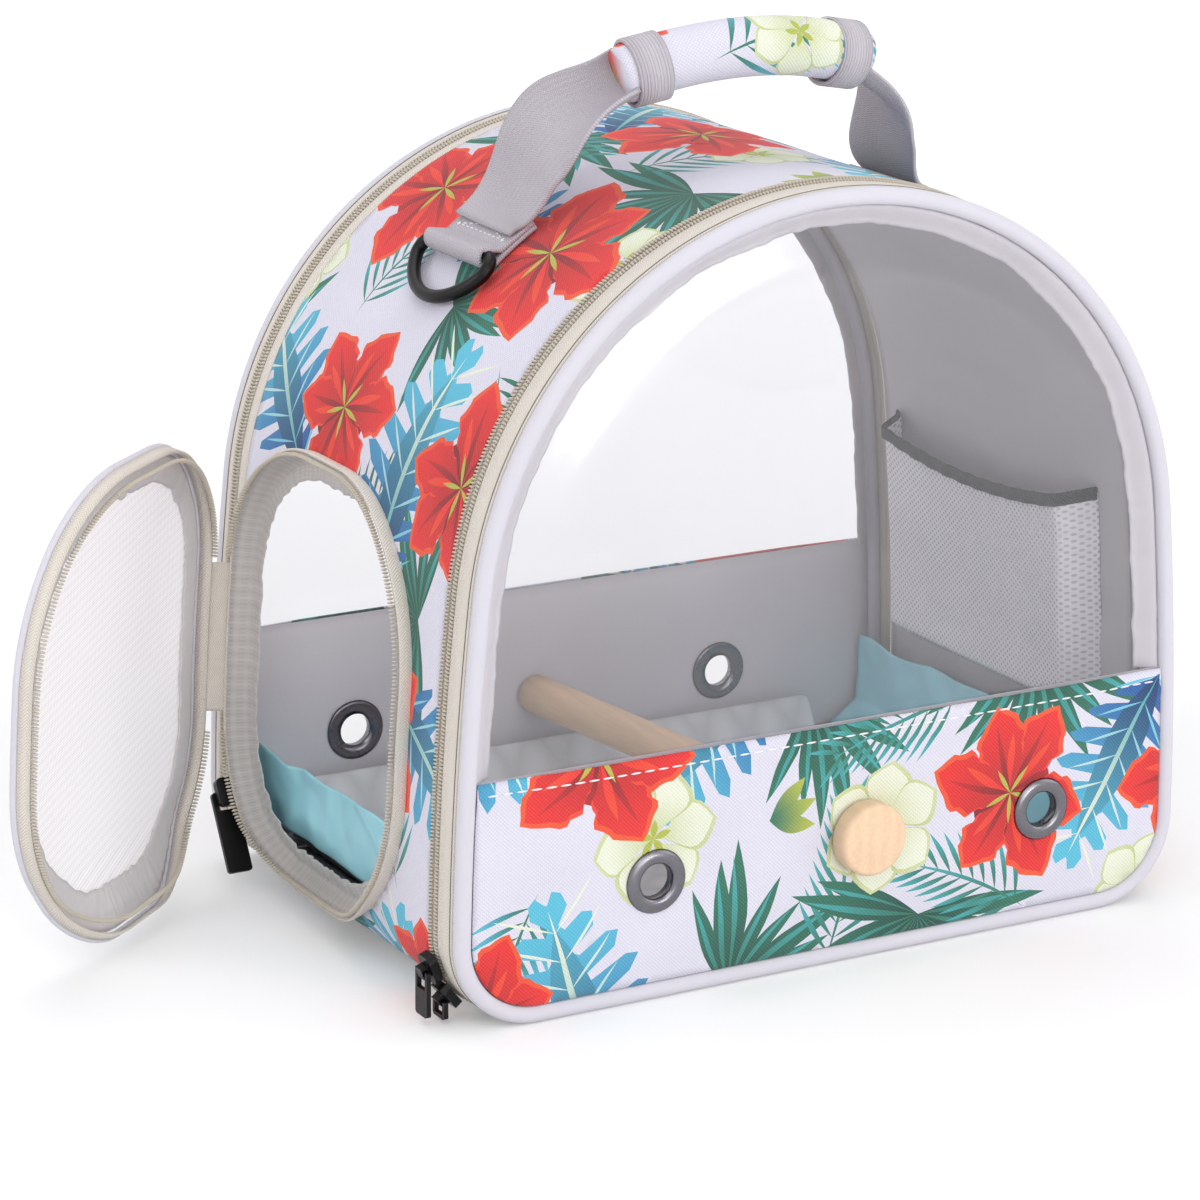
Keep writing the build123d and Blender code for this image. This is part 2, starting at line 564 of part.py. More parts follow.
def make_side_slider():
    slant = math.radians(SIDE_SLIDER_ANGLE)
    y, z = side_track(SIDE_SLIDER_CLEARANCE)
    x = -half_width(z) - SIDE_COLLAR - SIDE_COIL / 2
    along = Vector(0, -math.sin(slant), -math.cos(slant))
    outward = Vector(0, math.cos(slant), -math.sin(slant))
    seat = Plane(origin=(x, y, z), x_dir=along, z_dir=outward)
    yield "side_slider", seat * slider_body(SLIDER_LENGTH, SIDE_SLIDER_WIDTH, SLIDER_THICKNESS)
    pivot_y, pivot_z = side_track(SIDE_SLIDER_CLEARANCE + SLIDER_THICKNESS + BRIDGE_RISE / 2)
    tab = pull(SIDE_PULL_LENGTH, SIDE_PULL_WIDTH).rotate(Axis.Z, 90).rotate(Axis.X, -SIDE_PULL_TILT)
    yield "side_pull", Pos(x, pivot_y, pivot_z) * tab


# ---- handle and D-rings -----------------------------------------------------------------------
LOOP_INNER = RING_WIRE + LOOP_CLEARANCE
LOOP_OUT = LOOP_INNER + WEBBING + REST_GAP
PIVOT_Z = arch_place(ANCHOR_HIGH_X, 2 * WEBBING + REST_GAP)[1]


def strap_anchor():
    """The sewn end of the webbing on the left, folded round the D-ring's bar."""
    x, z, _ = arch_place(-ANCHOR_LOW_X, LOOP_OUT)
    half = WEBBING_WIDTH / 2
    flat = arch_shell(-2 * WEBBING - REST_GAP, -REST_GAP, -half, half)
    flat &= block(x, -ANCHOR_HIGH_X, -half, half, TOP_CENTRE_Z, PIVOT_Z)
    loop = y_rod(LOOP_INNER + WEBBING, x, z, -half, half)
    return flat + loop - y_rod(LOOP_INNER, x, z, -half - 1, half + 1)


def ring_path():
    """The D-ring's wire in the XY plane: its bar on the Y axis, its bow towards +X."""
    half = RING_WIDTH / 2 - RING_WIRE
    bow = RING_DEPTH - 2 * RING_WIRE
    side = half - RING_CORNER
    middle = (RING_CORNER**2 + side**2 - (bow - RING_CORNER) ** 2) / (4 * RING_CORNER - 2 * bow)
    centre = Vector(RING_CORNER, side)
    outward = (centre - Vector(middle, 0)).normalized()
    meet = centre + outward * RING_CORNER
    bend = centre + (outward + Vector(-1, 0)).normalized() * RING_CORNER

    def other(point):
        return Vector(point.X, -point.Y)

    top = Vector(0, side)
    return Wire([
        Edge.make_line(other(top), top),
        Edge.make_three_point_arc(top, bend, meet),
        Edge.make_three_point_arc(meet, Vector(bow, 0), other(meet)),
        Edge.make_three_point_arc(other(meet), other(bend), other(top)),
    ])


def d_ring():
    """The left D-ring, lying downhill from its loop on the arch."""
    x, z, slope = arch_place(-ANCHOR_LOW_X, LOOP_OUT)
    droop = math.radians(RING_LIE_ANGLE - slope)
    down = Vector(-math.cos(droop), 0, -math.sin(droop))
    seat = Plane(origin=(x, 0, z), x_dir=down, z_dir=down.cross(Vector(0, 1, 0)))
    path = ring_path()
    start = path.edges()[0]
    return seat * sweep(Plane(origin=start @ 0, z_dir=start % 0) * Circle(RING_WIRE), path=path)


def lean(shape):
    return shape.rotate(Axis((0, 0, PIVOT_Z), (1, 0, 0)), HANDLE_LEAN)


def strap_face(points):
    """The webbing's path in the XZ plane as a thin ribbon."""
    path = Polyline(*[(x, z) for x, z in points])
    return Plane.XZ * trace(path, WEBBING)


def handle_strap():
    """The left strap: gathered to a point at its pivot, full width where it meets the grip."""
    grip_x = GRIP_LENGTH / 2
    grip_z = PIVOT_Z + HANDLE_RISE - GRIP_SAG
    points = [
        (-ANCHOR_HIGH_X, PIVOT_Z + STRAP_START),
        (-(ANCHOR_HIGH_X + grip_x) / 2, (PIVOT_Z + grip_z) / 2),
        (-grip_x - 2 * WEBBING, grip_z - GRIP_RADIUS / 2),
        (-grip_x - WEBBING, grip_z),
    ]
    ribbon = extrude(strap_face(points), WEBBING_WIDTH / 2, both=True)
    top = grip_z + GRIP_RADIUS
    half = WEBBING_WIDTH / 2
    rise = half / STRAP_TAPER
    outline = Plane.YZ * make_face(Polyline(
        (-STRAP_POINT, PIVOT_Z), (STRAP_POINT, PIVOT_Z), (half, PIVOT_Z + rise), (half, top),
        (-half, top), (-half, PIVOT_Z + rise), (-STRAP_POINT, PIVOT_Z),
    ))
    return lean(ribbon & extrude(outline, BIG, both=True))


def grip_arc():
    half = GRIP_LENGTH / 2
    crown = PIVOT_Z + HANDLE_RISE
    return Edge.make_three_point_arc((-half, 0, crown - GRIP_SAG), (0, 0, crown), (half, 0, crown - GRIP_SAG))


def make_handle():
    left = handle_strap()
    yield "handle_strap_left", left
    yield "handle_strap_right", mirror_x(left)
    arc = grip_arc()
    section = Plane(origin=arc @ 0, z_dir=arc % 0)
    core = sweep(section * Circle(GRIP_CORE), path=arc)
    yield "grip_core", lean(core)
    sleeve = sweep(section * (Circle(GRIP_RADIUS) - Circle(GRIP_CORE + SEAT_GAP)), path=arc)
    yield "grip_sleeve", lean(sleeve)


def make_anchors():
    anchor = strap_anchor()
    yield "strap_anchors", Compound(children=[*anchor.solids(), *mirror_x(anchor).solids()])
    ring = d_ring()
    yield "d_ring_left", ring
    yield "d_ring_right", mirror_x(ring)


# ---- floor pad --------------------------------------------------------------------------------
def make_pad():
    """An absorbent pad: a white core on a blue film that turns up along the side walls."""
    bottom = FLOOR_TOP + PAD_GAP

    def strip(rise):
        return [
            (0, bottom + rise), (PAD_HALF_LENGTH + 4 * PAD_FILM, bottom + rise),
            (PAD_BEND_X, PAD_BEND_HEIGHT + rise), (PAD_BEND_X - rise / 4, PAD_SIDE_HEIGHT),
        ]

    lower, upper = strip(0), strip(PAD_FILM)
    lower[3] = (PAD_BEND_X, PAD_SIDE_HEIGHT)
    upper[2] = (PAD_BEND_X - PAD_FILM, PAD_BEND_HEIGHT)
    upper[3] = (PAD_BEND_X - PAD_FILM, PAD_SIDE_HEIGHT)
    half = make_face(Polyline(*lower, *reversed(upper), lower[0]))
    film = extrude(Plane.XZ * half, PAD_HALF_WIDTH, both=True)
    film += mirror_x(film)
    yield "pad_film", film
    core_bottom = bottom + PAD_FILM
    core_top = core_bottom + PAD_CORE
    length, width = PAD_HALF_LENGTH, PAD_HALF_WIDTH
    core = block(-length, length, -width, width, core_bottom, core_top)
    core += block(-length, length, -width, PAD_CORE - width, core_bottom, PAD_END_HEIGHT)
    core += block(-length, length, width - PAD_CORE, width, core_bottom, PAD_END_HEIGHT)
    yield "pad_core", core


# ---- write one file for each piece ------------------------------------------------------------
def all_pieces():
    for make in (make_cabin, make_side_frame, make_pocket, make_perch, make_anchors, make_handle):
        yield from make()
    for make in (make_side_door, make_sliders, make_side_slider, make_pad):
        yield from make()
    for name, piece in make_end_door(FRONT_TAPE):
        yield "front_" + name, piece
    for name, piece in make_end_door(REAR_TAPE):
        yield "rear_" + name, turn_z(piece)
    for name, piece in make_knob():
        yield "front_" + name, piece
        yield "rear_" + name, turn_z(piece)


os.makedirs("parts", exist_ok=True)
for node, shape in all_pieces():
    export_step(shape, os.path.join("parts", node + ".step"))
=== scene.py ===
import json
import math
import random

import bmesh
import bpy
from bpy.props import FloatProperty, FloatVectorProperty, PointerProperty
from mathutils import Matrix, Vector, geometry, noise

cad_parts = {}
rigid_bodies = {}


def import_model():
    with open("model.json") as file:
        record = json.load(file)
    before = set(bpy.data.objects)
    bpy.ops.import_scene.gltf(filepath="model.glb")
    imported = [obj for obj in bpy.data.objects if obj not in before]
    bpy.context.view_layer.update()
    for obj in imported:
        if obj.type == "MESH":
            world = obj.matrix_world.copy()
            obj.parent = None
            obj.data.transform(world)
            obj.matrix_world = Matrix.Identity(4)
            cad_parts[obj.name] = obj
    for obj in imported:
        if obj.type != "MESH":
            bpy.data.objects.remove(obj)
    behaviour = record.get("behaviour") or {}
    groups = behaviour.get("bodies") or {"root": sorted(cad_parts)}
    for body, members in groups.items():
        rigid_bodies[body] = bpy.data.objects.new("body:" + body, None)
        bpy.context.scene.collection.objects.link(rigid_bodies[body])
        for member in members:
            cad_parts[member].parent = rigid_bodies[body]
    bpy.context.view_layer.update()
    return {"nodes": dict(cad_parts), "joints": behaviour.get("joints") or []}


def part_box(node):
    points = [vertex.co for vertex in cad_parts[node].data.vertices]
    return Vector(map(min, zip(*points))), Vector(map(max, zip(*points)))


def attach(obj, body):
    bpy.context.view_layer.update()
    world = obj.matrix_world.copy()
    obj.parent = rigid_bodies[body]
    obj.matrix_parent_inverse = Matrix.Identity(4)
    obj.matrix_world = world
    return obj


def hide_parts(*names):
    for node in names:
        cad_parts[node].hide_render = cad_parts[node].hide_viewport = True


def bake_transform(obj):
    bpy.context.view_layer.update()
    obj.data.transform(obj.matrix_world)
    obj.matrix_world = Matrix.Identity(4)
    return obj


bl_info = {
    "name": "Bird travel carrier",
    "version": (1, 0, 0),
    "blender": (4, 5, 0),
    "location": "3D View > Sidebar > Carrier",
    "description": "Makes the cloth, zips, windows and fittings of a soft bird travel carrier",
    "category": "Object",
}

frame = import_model()
MM = 0.001
X, Y, Z = Vector((1, 0, 0)), Vector((0, 1, 0)), Vector((0, 0, 1))
ENDS = ("front", "rear")


# ---- sizes and colours ------------------------------------------------------------------------
def length(name, description, millimetres):
    return FloatProperty(
        name=name, description=description, default=millimetres * MM, unit="LENGTH", subtype="DISTANCE"
    )


def tilt(name, description, degrees):
    return FloatProperty(name=name, description=description, default=math.radians(degrees), subtype="ANGLE")


def colour(name, description, red, green, blue):
    """A colour given as 0-255 display values."""
    return FloatVectorProperty(
        name=name, description=description, subtype="COLOR", size=3, min=0, max=1,
        default=[to_linear(channel / 255) for channel in (red, green, blue)],
    )


def to_linear(channel):
    return channel / 12.92 if channel <= 0.04045 else ((channel + 0.055) / 1.055) ** 2.4


class CabinSizes(bpy.types.PropertyGroup):
    width: length("Width", "Cabin width over the canvas", 280)
    height: length("Height", "Cabin height to the top of the arch", 262)
    top_inset: length("Top inset", "Half width less the radius of the top arc", 6)
    corner: length("Corner radius", "Radius of the bottom corners", 30)
    widest: length("Widest height", "Height of the side arcs' centres", 16)
    canvas: length("Canvas", "Thickness of the printed canvas", 1.2)
    foam: length("Foam", "Thickness of the foam in the wall", 3)
    lining: length("Lining", "Thickness of the lining", 0.8)
    wrinkle: length("Wrinkle", "Depth of the lining's folds", 1.1)


class DoorSizes(bpy.types.PropertyGroup):
    piping: length("Piping", "Radius of the door's piping", 3)
    band: length("Band height", "Height of the printed band under the window", 84)
    bulge: length("Band bulge", "How far the band swells out in its middle", 2.0)
    tooth_pitch: length("Tooth pitch", "Distance from one zip tooth to the next", 1.25)
    dome: length("Window dome", "How far the clear window swells out", 2.6)
    knob: length("Knob radius", "Radius of the perch knob", 12.5)
    eyelet: length("Eyelet radius", "Outer radius of a vent eyelet", 11)
    eyelet_hole: length("Eyelet hole", "Radius of the hole in a vent eyelet", 6)
    stitch: length("Stitch", "Length of one stitch", 4.2)


class SideDoorSizes(bpy.types.PropertyGroup):
    width: length("Width", "Width of the side opening", 128)
    height: length("Height", "Height of the side opening", 149)
    bottom: length("Bottom", "Height of the opening's lower edge", 13.5)
    hinge_y: length("Hinge edge", "Where the hinge edge stands along the cabin", 73)
    hinge_corner: length("Hinge corner", "Corner radius on the hinge side", 48)
    free_corner: length("Free corner", "Corner radius on the free side", 58)
    open_angle: tilt("Open angle", "How far the door is stored open", 50)


class HandleSizes(bpy.types.PropertyGroup):
    webbing: length("Webbing width", "Width of the webbing", 38)
    thickness: length("Webbing thickness", "Thickness of the webbing", 1.6)
    grip: length("Grip radius", "Radius of the padded grip", 10)
    lean: tilt("Lean", "How far the handle leans forward", 29.5)


class CarrierColours(bpy.types.PropertyGroup):
    ground: colour("Ground", "Canvas between the printed leaves", 232, 229, 243)
    red: colour("Red", "Petals", 246, 40, 38)
    deep_red: colour("Deep red", "Folds and throats of the petals", 138, 18, 26)
    orange: colour("Orange", "Edges of the petals", 250, 92, 40)
    dark_green: colour("Dark green", "Fan leaves", 18, 78, 66)
    mid_green: colour("Mid green", "Lit side of the fan leaves", 44, 122, 96)
    blue: colour("Blue", "Root of the broad leaves", 34, 92, 168)
    cyan: colour("Cyan", "Tip of the broad leaves", 92, 200, 228)
    teal: colour("Teal", "Fern sprigs", 70, 178, 182)
    lime: colour("Lime", "Buds", 186, 196, 76)
    cream: colour("Cream", "Pale blossoms", 244, 248, 226)
    tape: colour("Zip tape", "Tape, rims and bindings", 228, 219, 208)
    teeth: colour("Zip teeth", "Coil of the zips", 196, 187, 172)
    piping: colour("Piping", "Covered cord round the doors", 220, 217, 226)
    webbing: colour("Webbing", "Straps and anchors", 198, 191, 199)
    lining: colour("Lining", "Cloth inside the cabin", 208, 203, 207)
    wood: colour("Wood", "Perch and knobs", 238, 204, 170)
    film: colour("Pad film", "Plastic backing of the pad", 174, 240, 255)
    metal: colour("Dark metal", "Rings and sliders", 20, 18, 20)
    eyelet: colour("Eyelet", "Vent eyelets", 120, 118, 124)


# ---- the cabin's outline ----------------------------------------------------------------------
class Arch:
    """The outline seen from the front. It is followed from the left end of the flat base, up and over."""

    def __init__(self, sizes):
        half = sizes.width / 2
        top = half - sizes.top_inset
        top_z = sizes.height - top
        rise = top_z - sizes.widest
        side = (half**2 + rise**2 - top**2) / (2 * sizes.top_inset)
        side_x = half - side
        drop = sizes.corner - sizes.widest
        corner_x = side_x + math.sqrt((side - sizes.corner) ** 2 - drop**2)
        low = math.atan2(drop, corner_x - side_x)
        high = math.atan2(rise, -side_x)
        self.corner_x, self.top_z, self.top = corner_x, top_z, top
        self.arcs = [
            (-corner_x, sizes.corner, sizes.corner, 1.5 * math.pi, math.pi - low),
            (-side_x, sizes.widest, side, math.pi - low, math.pi - high),
            (0.0, top_z, top, math.pi - high, high),
            (side_x, sizes.widest, side, high, low),
            (corner_x, sizes.corner, sizes.corner, low, -0.5 * math.pi),
        ]
        self.length = sum(radius * (start - end) for _, _, radius, start, end in self.arcs)
        self.around = self.length + 2 * corner_x

    def at(self, s, y, out=0.0):
        """The point s along the outline, stood out from it, and the outward normal there."""
        s %= self.around
        for x, z, radius, start, end in self.arcs:
            run = radius * (start - end)
            if s <= run:
                angle = start - s / radius
                normal = Vector((math.cos(angle), 0, math.sin(angle)))
                return Vector((x, y, z)) + normal * (radius + out), normal
            s -= run
        return Vector((self.corner_x - s, y, -out)), Vector((0, 0, -1))

    def left_at_height(self, z):
        """How far along the outline its left side reaches a height."""
        low, high = 0.0, self.length / 2
        for _ in range(40):
            middle = (low + high) / 2
            if self.at(middle, 0)[0].z < z:
                low = middle
            else:
                high = middle
        return low


def extent(node, axis):
    """A frame node's low and high coordinate along an axis."""
    low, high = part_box(node)
    return low[axis], high[axis]


def middle(node, axis):
    return sum(extent(node, axis)) / 2


def joint_place(name):
    return Vector(next(joint for joint in frame["joints"] if joint["name"] == name)["pos_m"])


def spread(start, end, count):
    return [start + (end - start) * index / (count - 1) for index in range(count)]


def distances(path):
    """How far along a path each of its points is."""
    runs = [0.0]
    for a, b in zip(path, path[1:]):
        runs.append(runs[-1] + math.dist(a, b))
    return runs


def smooth_step(value):
    value = min(max(value, 0.0), 1.0)
    return value * value * (3 - 2 * value)


def rough(x, y=0.0, z=0.0):
    """A smooth value from -1 to 1 that changes over about 1."""
    return noise.noise(Vector((x, y, z)))


def ripple(x, y, seed, size):
    """A smooth value from -1 to 1 that changes over about size."""
    return rough(x / size, y / size, seed)


# ---- meshes -----------------------------------------------------------------------------------
def new_piece(name, mesh, finish_name=None):
    piece = bpy.data.objects.new(name, mesh)
    bpy.context.scene.collection.objects.link(piece)
    if finish_name:
        mesh.materials.append(finish(finish_name))
    return piece


def mesh_piece(name, points, faces, finish_name=None, corners=None):
    """A piece from points and faces, with a UV in metres for each face corner where given."""
    mesh = bpy.data.meshes.new(name)
    mesh.from_pydata(points, [], faces)
    if corners:
        layer = mesh.uv_layers.new(name="UVMap")
        layer.data.foreach_set("uv", [value for corner in corners for value in corner])
    mesh.shade_smooth()
    mesh.update()
    return new_piece(name, mesh, finish_name)


def grid_faces(columns, rows, us, vs):
    """A grid's faces and their UV. It closes on itself where us or vs has one value more than it."""
    faces, corners = [], []
    for i in range(len(us) - 1):
        a, b = i * rows, (i + 1) % columns * rows
        for j in range(len(vs) - 1):
            k = (j + 1) % rows
            faces.append((a + j, b + j, b + k, a + k))
            corners += [(us[i], vs[j]), (us[i + 1], vs[j]), (us[i + 1], vs[j + 1]), (us[i], vs[j + 1])]
    return faces, corners


def sheet(name, us, vs, place, finish_name=None):
    """A grid of cloth: place(u, v) gives the point for the cut's own u and v, in metres."""
    points = [place(u, v) for u in us for v in vs]
    faces, corners = grid_faces(len(us), len(vs), us, vs)
    return mesh_piece(name, points, faces, finish_name, corners)


def gathered_ring(name, loop, columns, rows, spacing, place, finish_name):
    """Cloth round the side opening: place(column, part, y, z, out_y, out_z), part from 0 at its loop to 1."""
    points = []
    for column in range(columns):
        at = column / columns * len(loop)
        a, b = loop[int(at)], loop[(int(at) + 1) % len(loop)]
        spot = [p + (q - p) * (at - int(at)) for p, q in zip(a, b)]
        points += [place(column, row / (rows - 1), *spot) for row in range(rows)]
    us = [column * spacing[0] * MM for column in range(columns + 1)]
    faces, corners = grid_faces(columns, rows, us, [row * spacing[1] * MM for row in range(rows)])
    return mesh_piece(name, points, faces, finish_name, corners)


def loft(name, stations, profile, finish_name, closed=True):
    """A solid swept through stations of (origin, across, up), with a closed profile of (a, b) points."""
    count = len(profile)
    points = [origin + across * a + up * b for origin, across, up in stations for a, b in profile]
    centres = [station[0] for station in stations]
    us, vs = distances(centres + centres[:1] if closed else centres), distances(profile + profile[:1])
    faces, corners = grid_faces(len(stations), count, us, vs)
    if not closed:
        last = (len(stations) - 1) * count
        for cap in (list(range(count)), [last + j for j in reversed(range(count))]):
            faces.append(cap)
            corners += [profile[j % count] for j in cap]
    piece = mesh_piece(name, points, faces, finish_name, corners)
    face_outwards(piece)
    return piece


def slab(a0, a1, b0, b1, round_by=0.3 * MM):
    """A rectangle with its corners cut, as a profile."""
    r = min(round_by, (a1 - a0) / 2.2, (b1 - b0) / 2.2)
    return [
        (a0 + r, b0), (a1 - r, b0), (a1, b0 + r), (a1, b1 - r),
        (a1 - r, b1), (a0 + r, b1), (a0, b1 - r), (a0, b0 + r),
    ]


def disc(radius, sides):
    turns = [2 * math.pi * index / sides for index in range(sides)]
    return [(radius * math.cos(turn), radius * math.sin(turn)) for turn in turns]


def turned(name, centre, axis, outline, finish_name, sides=48):
    """A piece turned on a lathe: outline lists (radius, height along axis), closed on itself."""
    side = axis.orthogonal().normalized()
    other = axis.cross(side)
    stations = [(centre, side * a + other * b, axis) for a, b in disc(1.0, sides)]
    piece = loft(name, stations, outline, finish_name)
    merge_close(piece)
    face_outwards(piece)
    return piece


def change_mesh(piece, change):
    work = bmesh.new()
    work.from_mesh(piece.data)
    change(work)
    work.to_mesh(piece.data)
    work.free()
    piece.data.update()


def merge_close(piece, distance=1e-6):
    change_mesh(piece, lambda work: bmesh.ops.remove_doubles(work, verts=work.verts, dist=distance))


def face_outwards(piece):
    change_mesh(piece, lambda work: bmesh.ops.recalc_face_normals(work, faces=work.faces))


def cap_ends(piece):
    change_mesh(piece, lambda work: bmesh.ops.holes_fill(work, edges=work.edges, sides=0))


def moved(piece, matrix):
    piece.data.transform(matrix)
    piece.data.update()
    return piece


def turn_about(centre, angle, axis):
    return Matrix.Translation(centre) @ Matrix.Rotation(angle, 4, axis) @ Matrix.Translation(-centre)


def settle(piece):
    """Turns what the modifiers show into the piece's plain mesh."""
    depsgraph = bpy.context.evaluated_depsgraph_get()
    mesh = bpy.data.meshes.new_from_object(piece.evaluated_get(depsgraph))
    mesh.name = piece.name
    piece.modifiers.clear()
    piece.data = mesh


def thicken(piece, thickness, offset=0.0):
    """Gives cloth a thickness: 0 is half on each side, 1 is all on its outer side and -1 on its inner one."""
    modifier = piece.modifiers.new("Thickness", "SOLIDIFY")
    modifier.thickness = thickness
    modifier.offset = offset
    settle(piece)
    return piece


def join(name, pieces):
    """One piece from several, with their materials."""
    finishes = []
    work = bmesh.new()
    for piece in pieces:
        places = []
        for material in piece.data.materials:
            if material not in finishes:
                finishes.append(material)
            places.append(finishes.index(material))
        first = len(work.faces)
        work.from_mesh(piece.data)
        work.faces.ensure_lookup_table()
        for index in range(first, len(work.faces)):
            work.faces[index].material_index = places[work.faces[index].material_index]
        bpy.data.objects.remove(piece)
    mesh = bpy.data.meshes.new(name)
    work.to_mesh(mesh)
    work.free()
    for material in finishes:
        mesh.materials.append(material)
    return new_piece(name, mesh)


def settled(piece, body, slot, *nodes):
    """Gives a finished piece its body and hides the frame nodes that it stands for. The slot is not used."""
    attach(piece, body)
    if nodes:
        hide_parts(*nodes)
    return piece


# ---- node trees -------------------------------------------------------------------------------
class Nodes:
    """Adds nodes to a tree; a keyword names an input, with _ for a space."""

    def __init__(self, tree):
        self.tree = tree
        tree.nodes.clear()

    def add(self, kind, settings=None, **inputs):
        node = self.tree.nodes.new(kind)
        for key, value in (settings or {}).items():
            setattr(node, key, value)
        for key, value in inputs.items():
            self.put(node.inputs[key.replace("_", " ")], value)
        return node

    def put(self, socket, value):
        if isinstance(value, bpy.types.NodeSocket):
            self.tree.links.new(value, socket)
        else:
            socket.default_value = value

    def filled(self, node, *values):
        """The first output of a node whose first inputs get these values."""
        for socket, value in zip(node.inputs, values):
            self.put(socket, value)
        return node.outputs[0]

    def math(self, operation, a, b=0.0, c=0.0):
        return self.filled(self.add("ShaderNodeMath", {"operation": operation}), a, b, c)

    def weighted(self, a, share, b):
        """a by its share and b by the rest."""
        return self.math("MULTIPLY_ADD", a, share, self.math("MULTIPLY", b, 1 - share))

    def mix(self, factor, a, b):
        node = self.add("ShaderNodeMix", {"data_type": "RGBA"})
        for socket, value in zip((node.inputs[0], node.inputs[6], node.inputs[7]), (factor, a, b)):
            self.put(socket, value)
        return node.outputs[2]

    def mix_shader(self, factor, a, b):
        return self.filled(self.add("ShaderNodeMixShader"), factor, a, b)

    def uv(self):
        return self.add("ShaderNodeUVMap", {"uv_map": "UVMap"}).outputs[0]

    def place(self):
        return self.add("ShaderNodeTexCoord").outputs["Object"]

    def noise(self, vector, scale, detail, **settings):
        node = self.add("ShaderNodeTexNoise", settings, Vector=vector, Scale=scale, Detail=detail)
        return node.outputs[0]

    def group(self, name, vector, **inputs):
        tree = bpy.data.node_groups.get(name) or GROUP_MAKERS[name]()
        node = self.add("ShaderNodeGroup", {"node_tree": tree})
        for key, value in {"Vector": vector, **inputs}.items():
            self.put(node.inputs[key], value)
        return node.outputs

    def mottle(self, vector, scale):
        return self.group("mottle", vector, Scale=scale)[0]


def shader_group(name, inputs, outputs):
    """A node group with float inputs {name: default}, one Vector input and float outputs."""
    tree = bpy.data.node_groups.new(name, "ShaderNodeTree")
    tree.interface.new_socket("Vector", in_out="INPUT", socket_type="NodeSocketVector")
    for label, default in inputs.items():
        socket = tree.interface.new_socket(label, in_out="INPUT", socket_type="NodeSocketFloat")
        socket.default_value = default
    for label in outputs:
        tree.interface.new_socket(label, in_out="OUTPUT", socket_type="NodeSocketFloat")
    nodes = Nodes(tree)
    return tree, nodes, nodes.add("NodeGroupInput").outputs, nodes.add("NodeGroupOutput").inputs


def wave(nodes, value, period):
    """A sine from 0 to 1 along a value."""
    turns = nodes.math("MULTIPLY", nodes.math("DIVIDE", value, period), 2 * math.pi)
    return nodes.math("MULTIPLY_ADD", nodes.math("SINE", turns), 0.5, 0.5)


def plain_weave_group():
    """Threads over and under: the height of a plain weave over a UV in metres, and a Shade that follows that
    height with a little slub noise, for painted shade in the weave's hollows.
    """
    tree, nodes, given, result = shader_group("plain_weave", {"Thread": 0.001}, ["Height", "Shade"])
    axes = nodes.add("ShaderNodeSeparateXYZ", Vector=given["Vector"]).outputs
    across, along = wave(nodes, axes[0], given["Thread"]), wave(nodes, axes[1], given["Thread"])
    swap = nodes.math("ABSOLUTE", nodes.math("SUBTRACT", across, along))
    nodes.put(result["Height"], swap)
    # Shade: the thread height, for painted shade in the hollows and painted highlight on the thread tops,
    # mixed with slub noise for real yarn tone.
    nodes.put(result["Shade"], nodes.weighted(nodes.noise(given["Vector"], 900.0, 2.0), 0.25, swap))
    return tree


def herringbone_group():
    """Slanted ribs that turn back at each column, over a UV in metres."""
    tree, nodes, given, result = shader_group("herringbone", {"Rib": 0.001, "Column": 0.003}, ["Height"])
    axes = nodes.add("ShaderNodeSeparateXYZ", Vector=given["Vector"]).outputs
    fold = nodes.math("PINGPONG", axes[1], given["Column"])
    nodes.put(result["Height"], wave(nodes, nodes.math("ADD", axes[0], fold), given["Rib"]))
    return tree


def mottle_group():
    """Slow cloudy change over a surface, for handled and uneven cloth."""
    tree, nodes, given, result = shader_group("mottle", {"Scale": 30.0}, ["Shade"])
    nodes.put(result["Shade"], nodes.noise(given["Vector"], given["Scale"], 3.0))
    return tree


GROUP_MAKERS = {"plain_weave": plain_weave_group, "herringbone": herringbone_group, "mottle": mottle_group}


# ---- finishes ---------------------------------------------------------------------------------
def opaque(shade, factor=1.0):
    return (*[min(channel * factor, 1.0) for channel in shade], 1.0)


def start_finish(**constants):
    """A material with a bare Principled shader whose constants are set on its own sockets."""
    material = bpy.data.materials.new("finish")
    material.use_nodes = True
    nodes = Nodes(material.node_tree)
    shader = nodes.add("ShaderNodeBsdfPrincipled", **constants)
    nodes.surface = nodes.add("ShaderNodeOutputMaterial").inputs["Surface"]
    nodes.put(nodes.surface, shader.outputs[0])
    return material, nodes, shader


def bump(nodes, shader, height, millimetres):
    node = nodes.add("ShaderNodeBump", Height=height, Distance=millimetres * MM, Strength=1.0)
    nodes.put(shader.inputs["Normal"], node.outputs[0])


def tone(nodes, shader, blend, dark, light):
    """Sets Base Color between a dark and a light colour."""
    mixed = nodes.mix(blend, dark, light)
    nodes.put(shader.inputs["Base Color"], mixed)
    return mixed


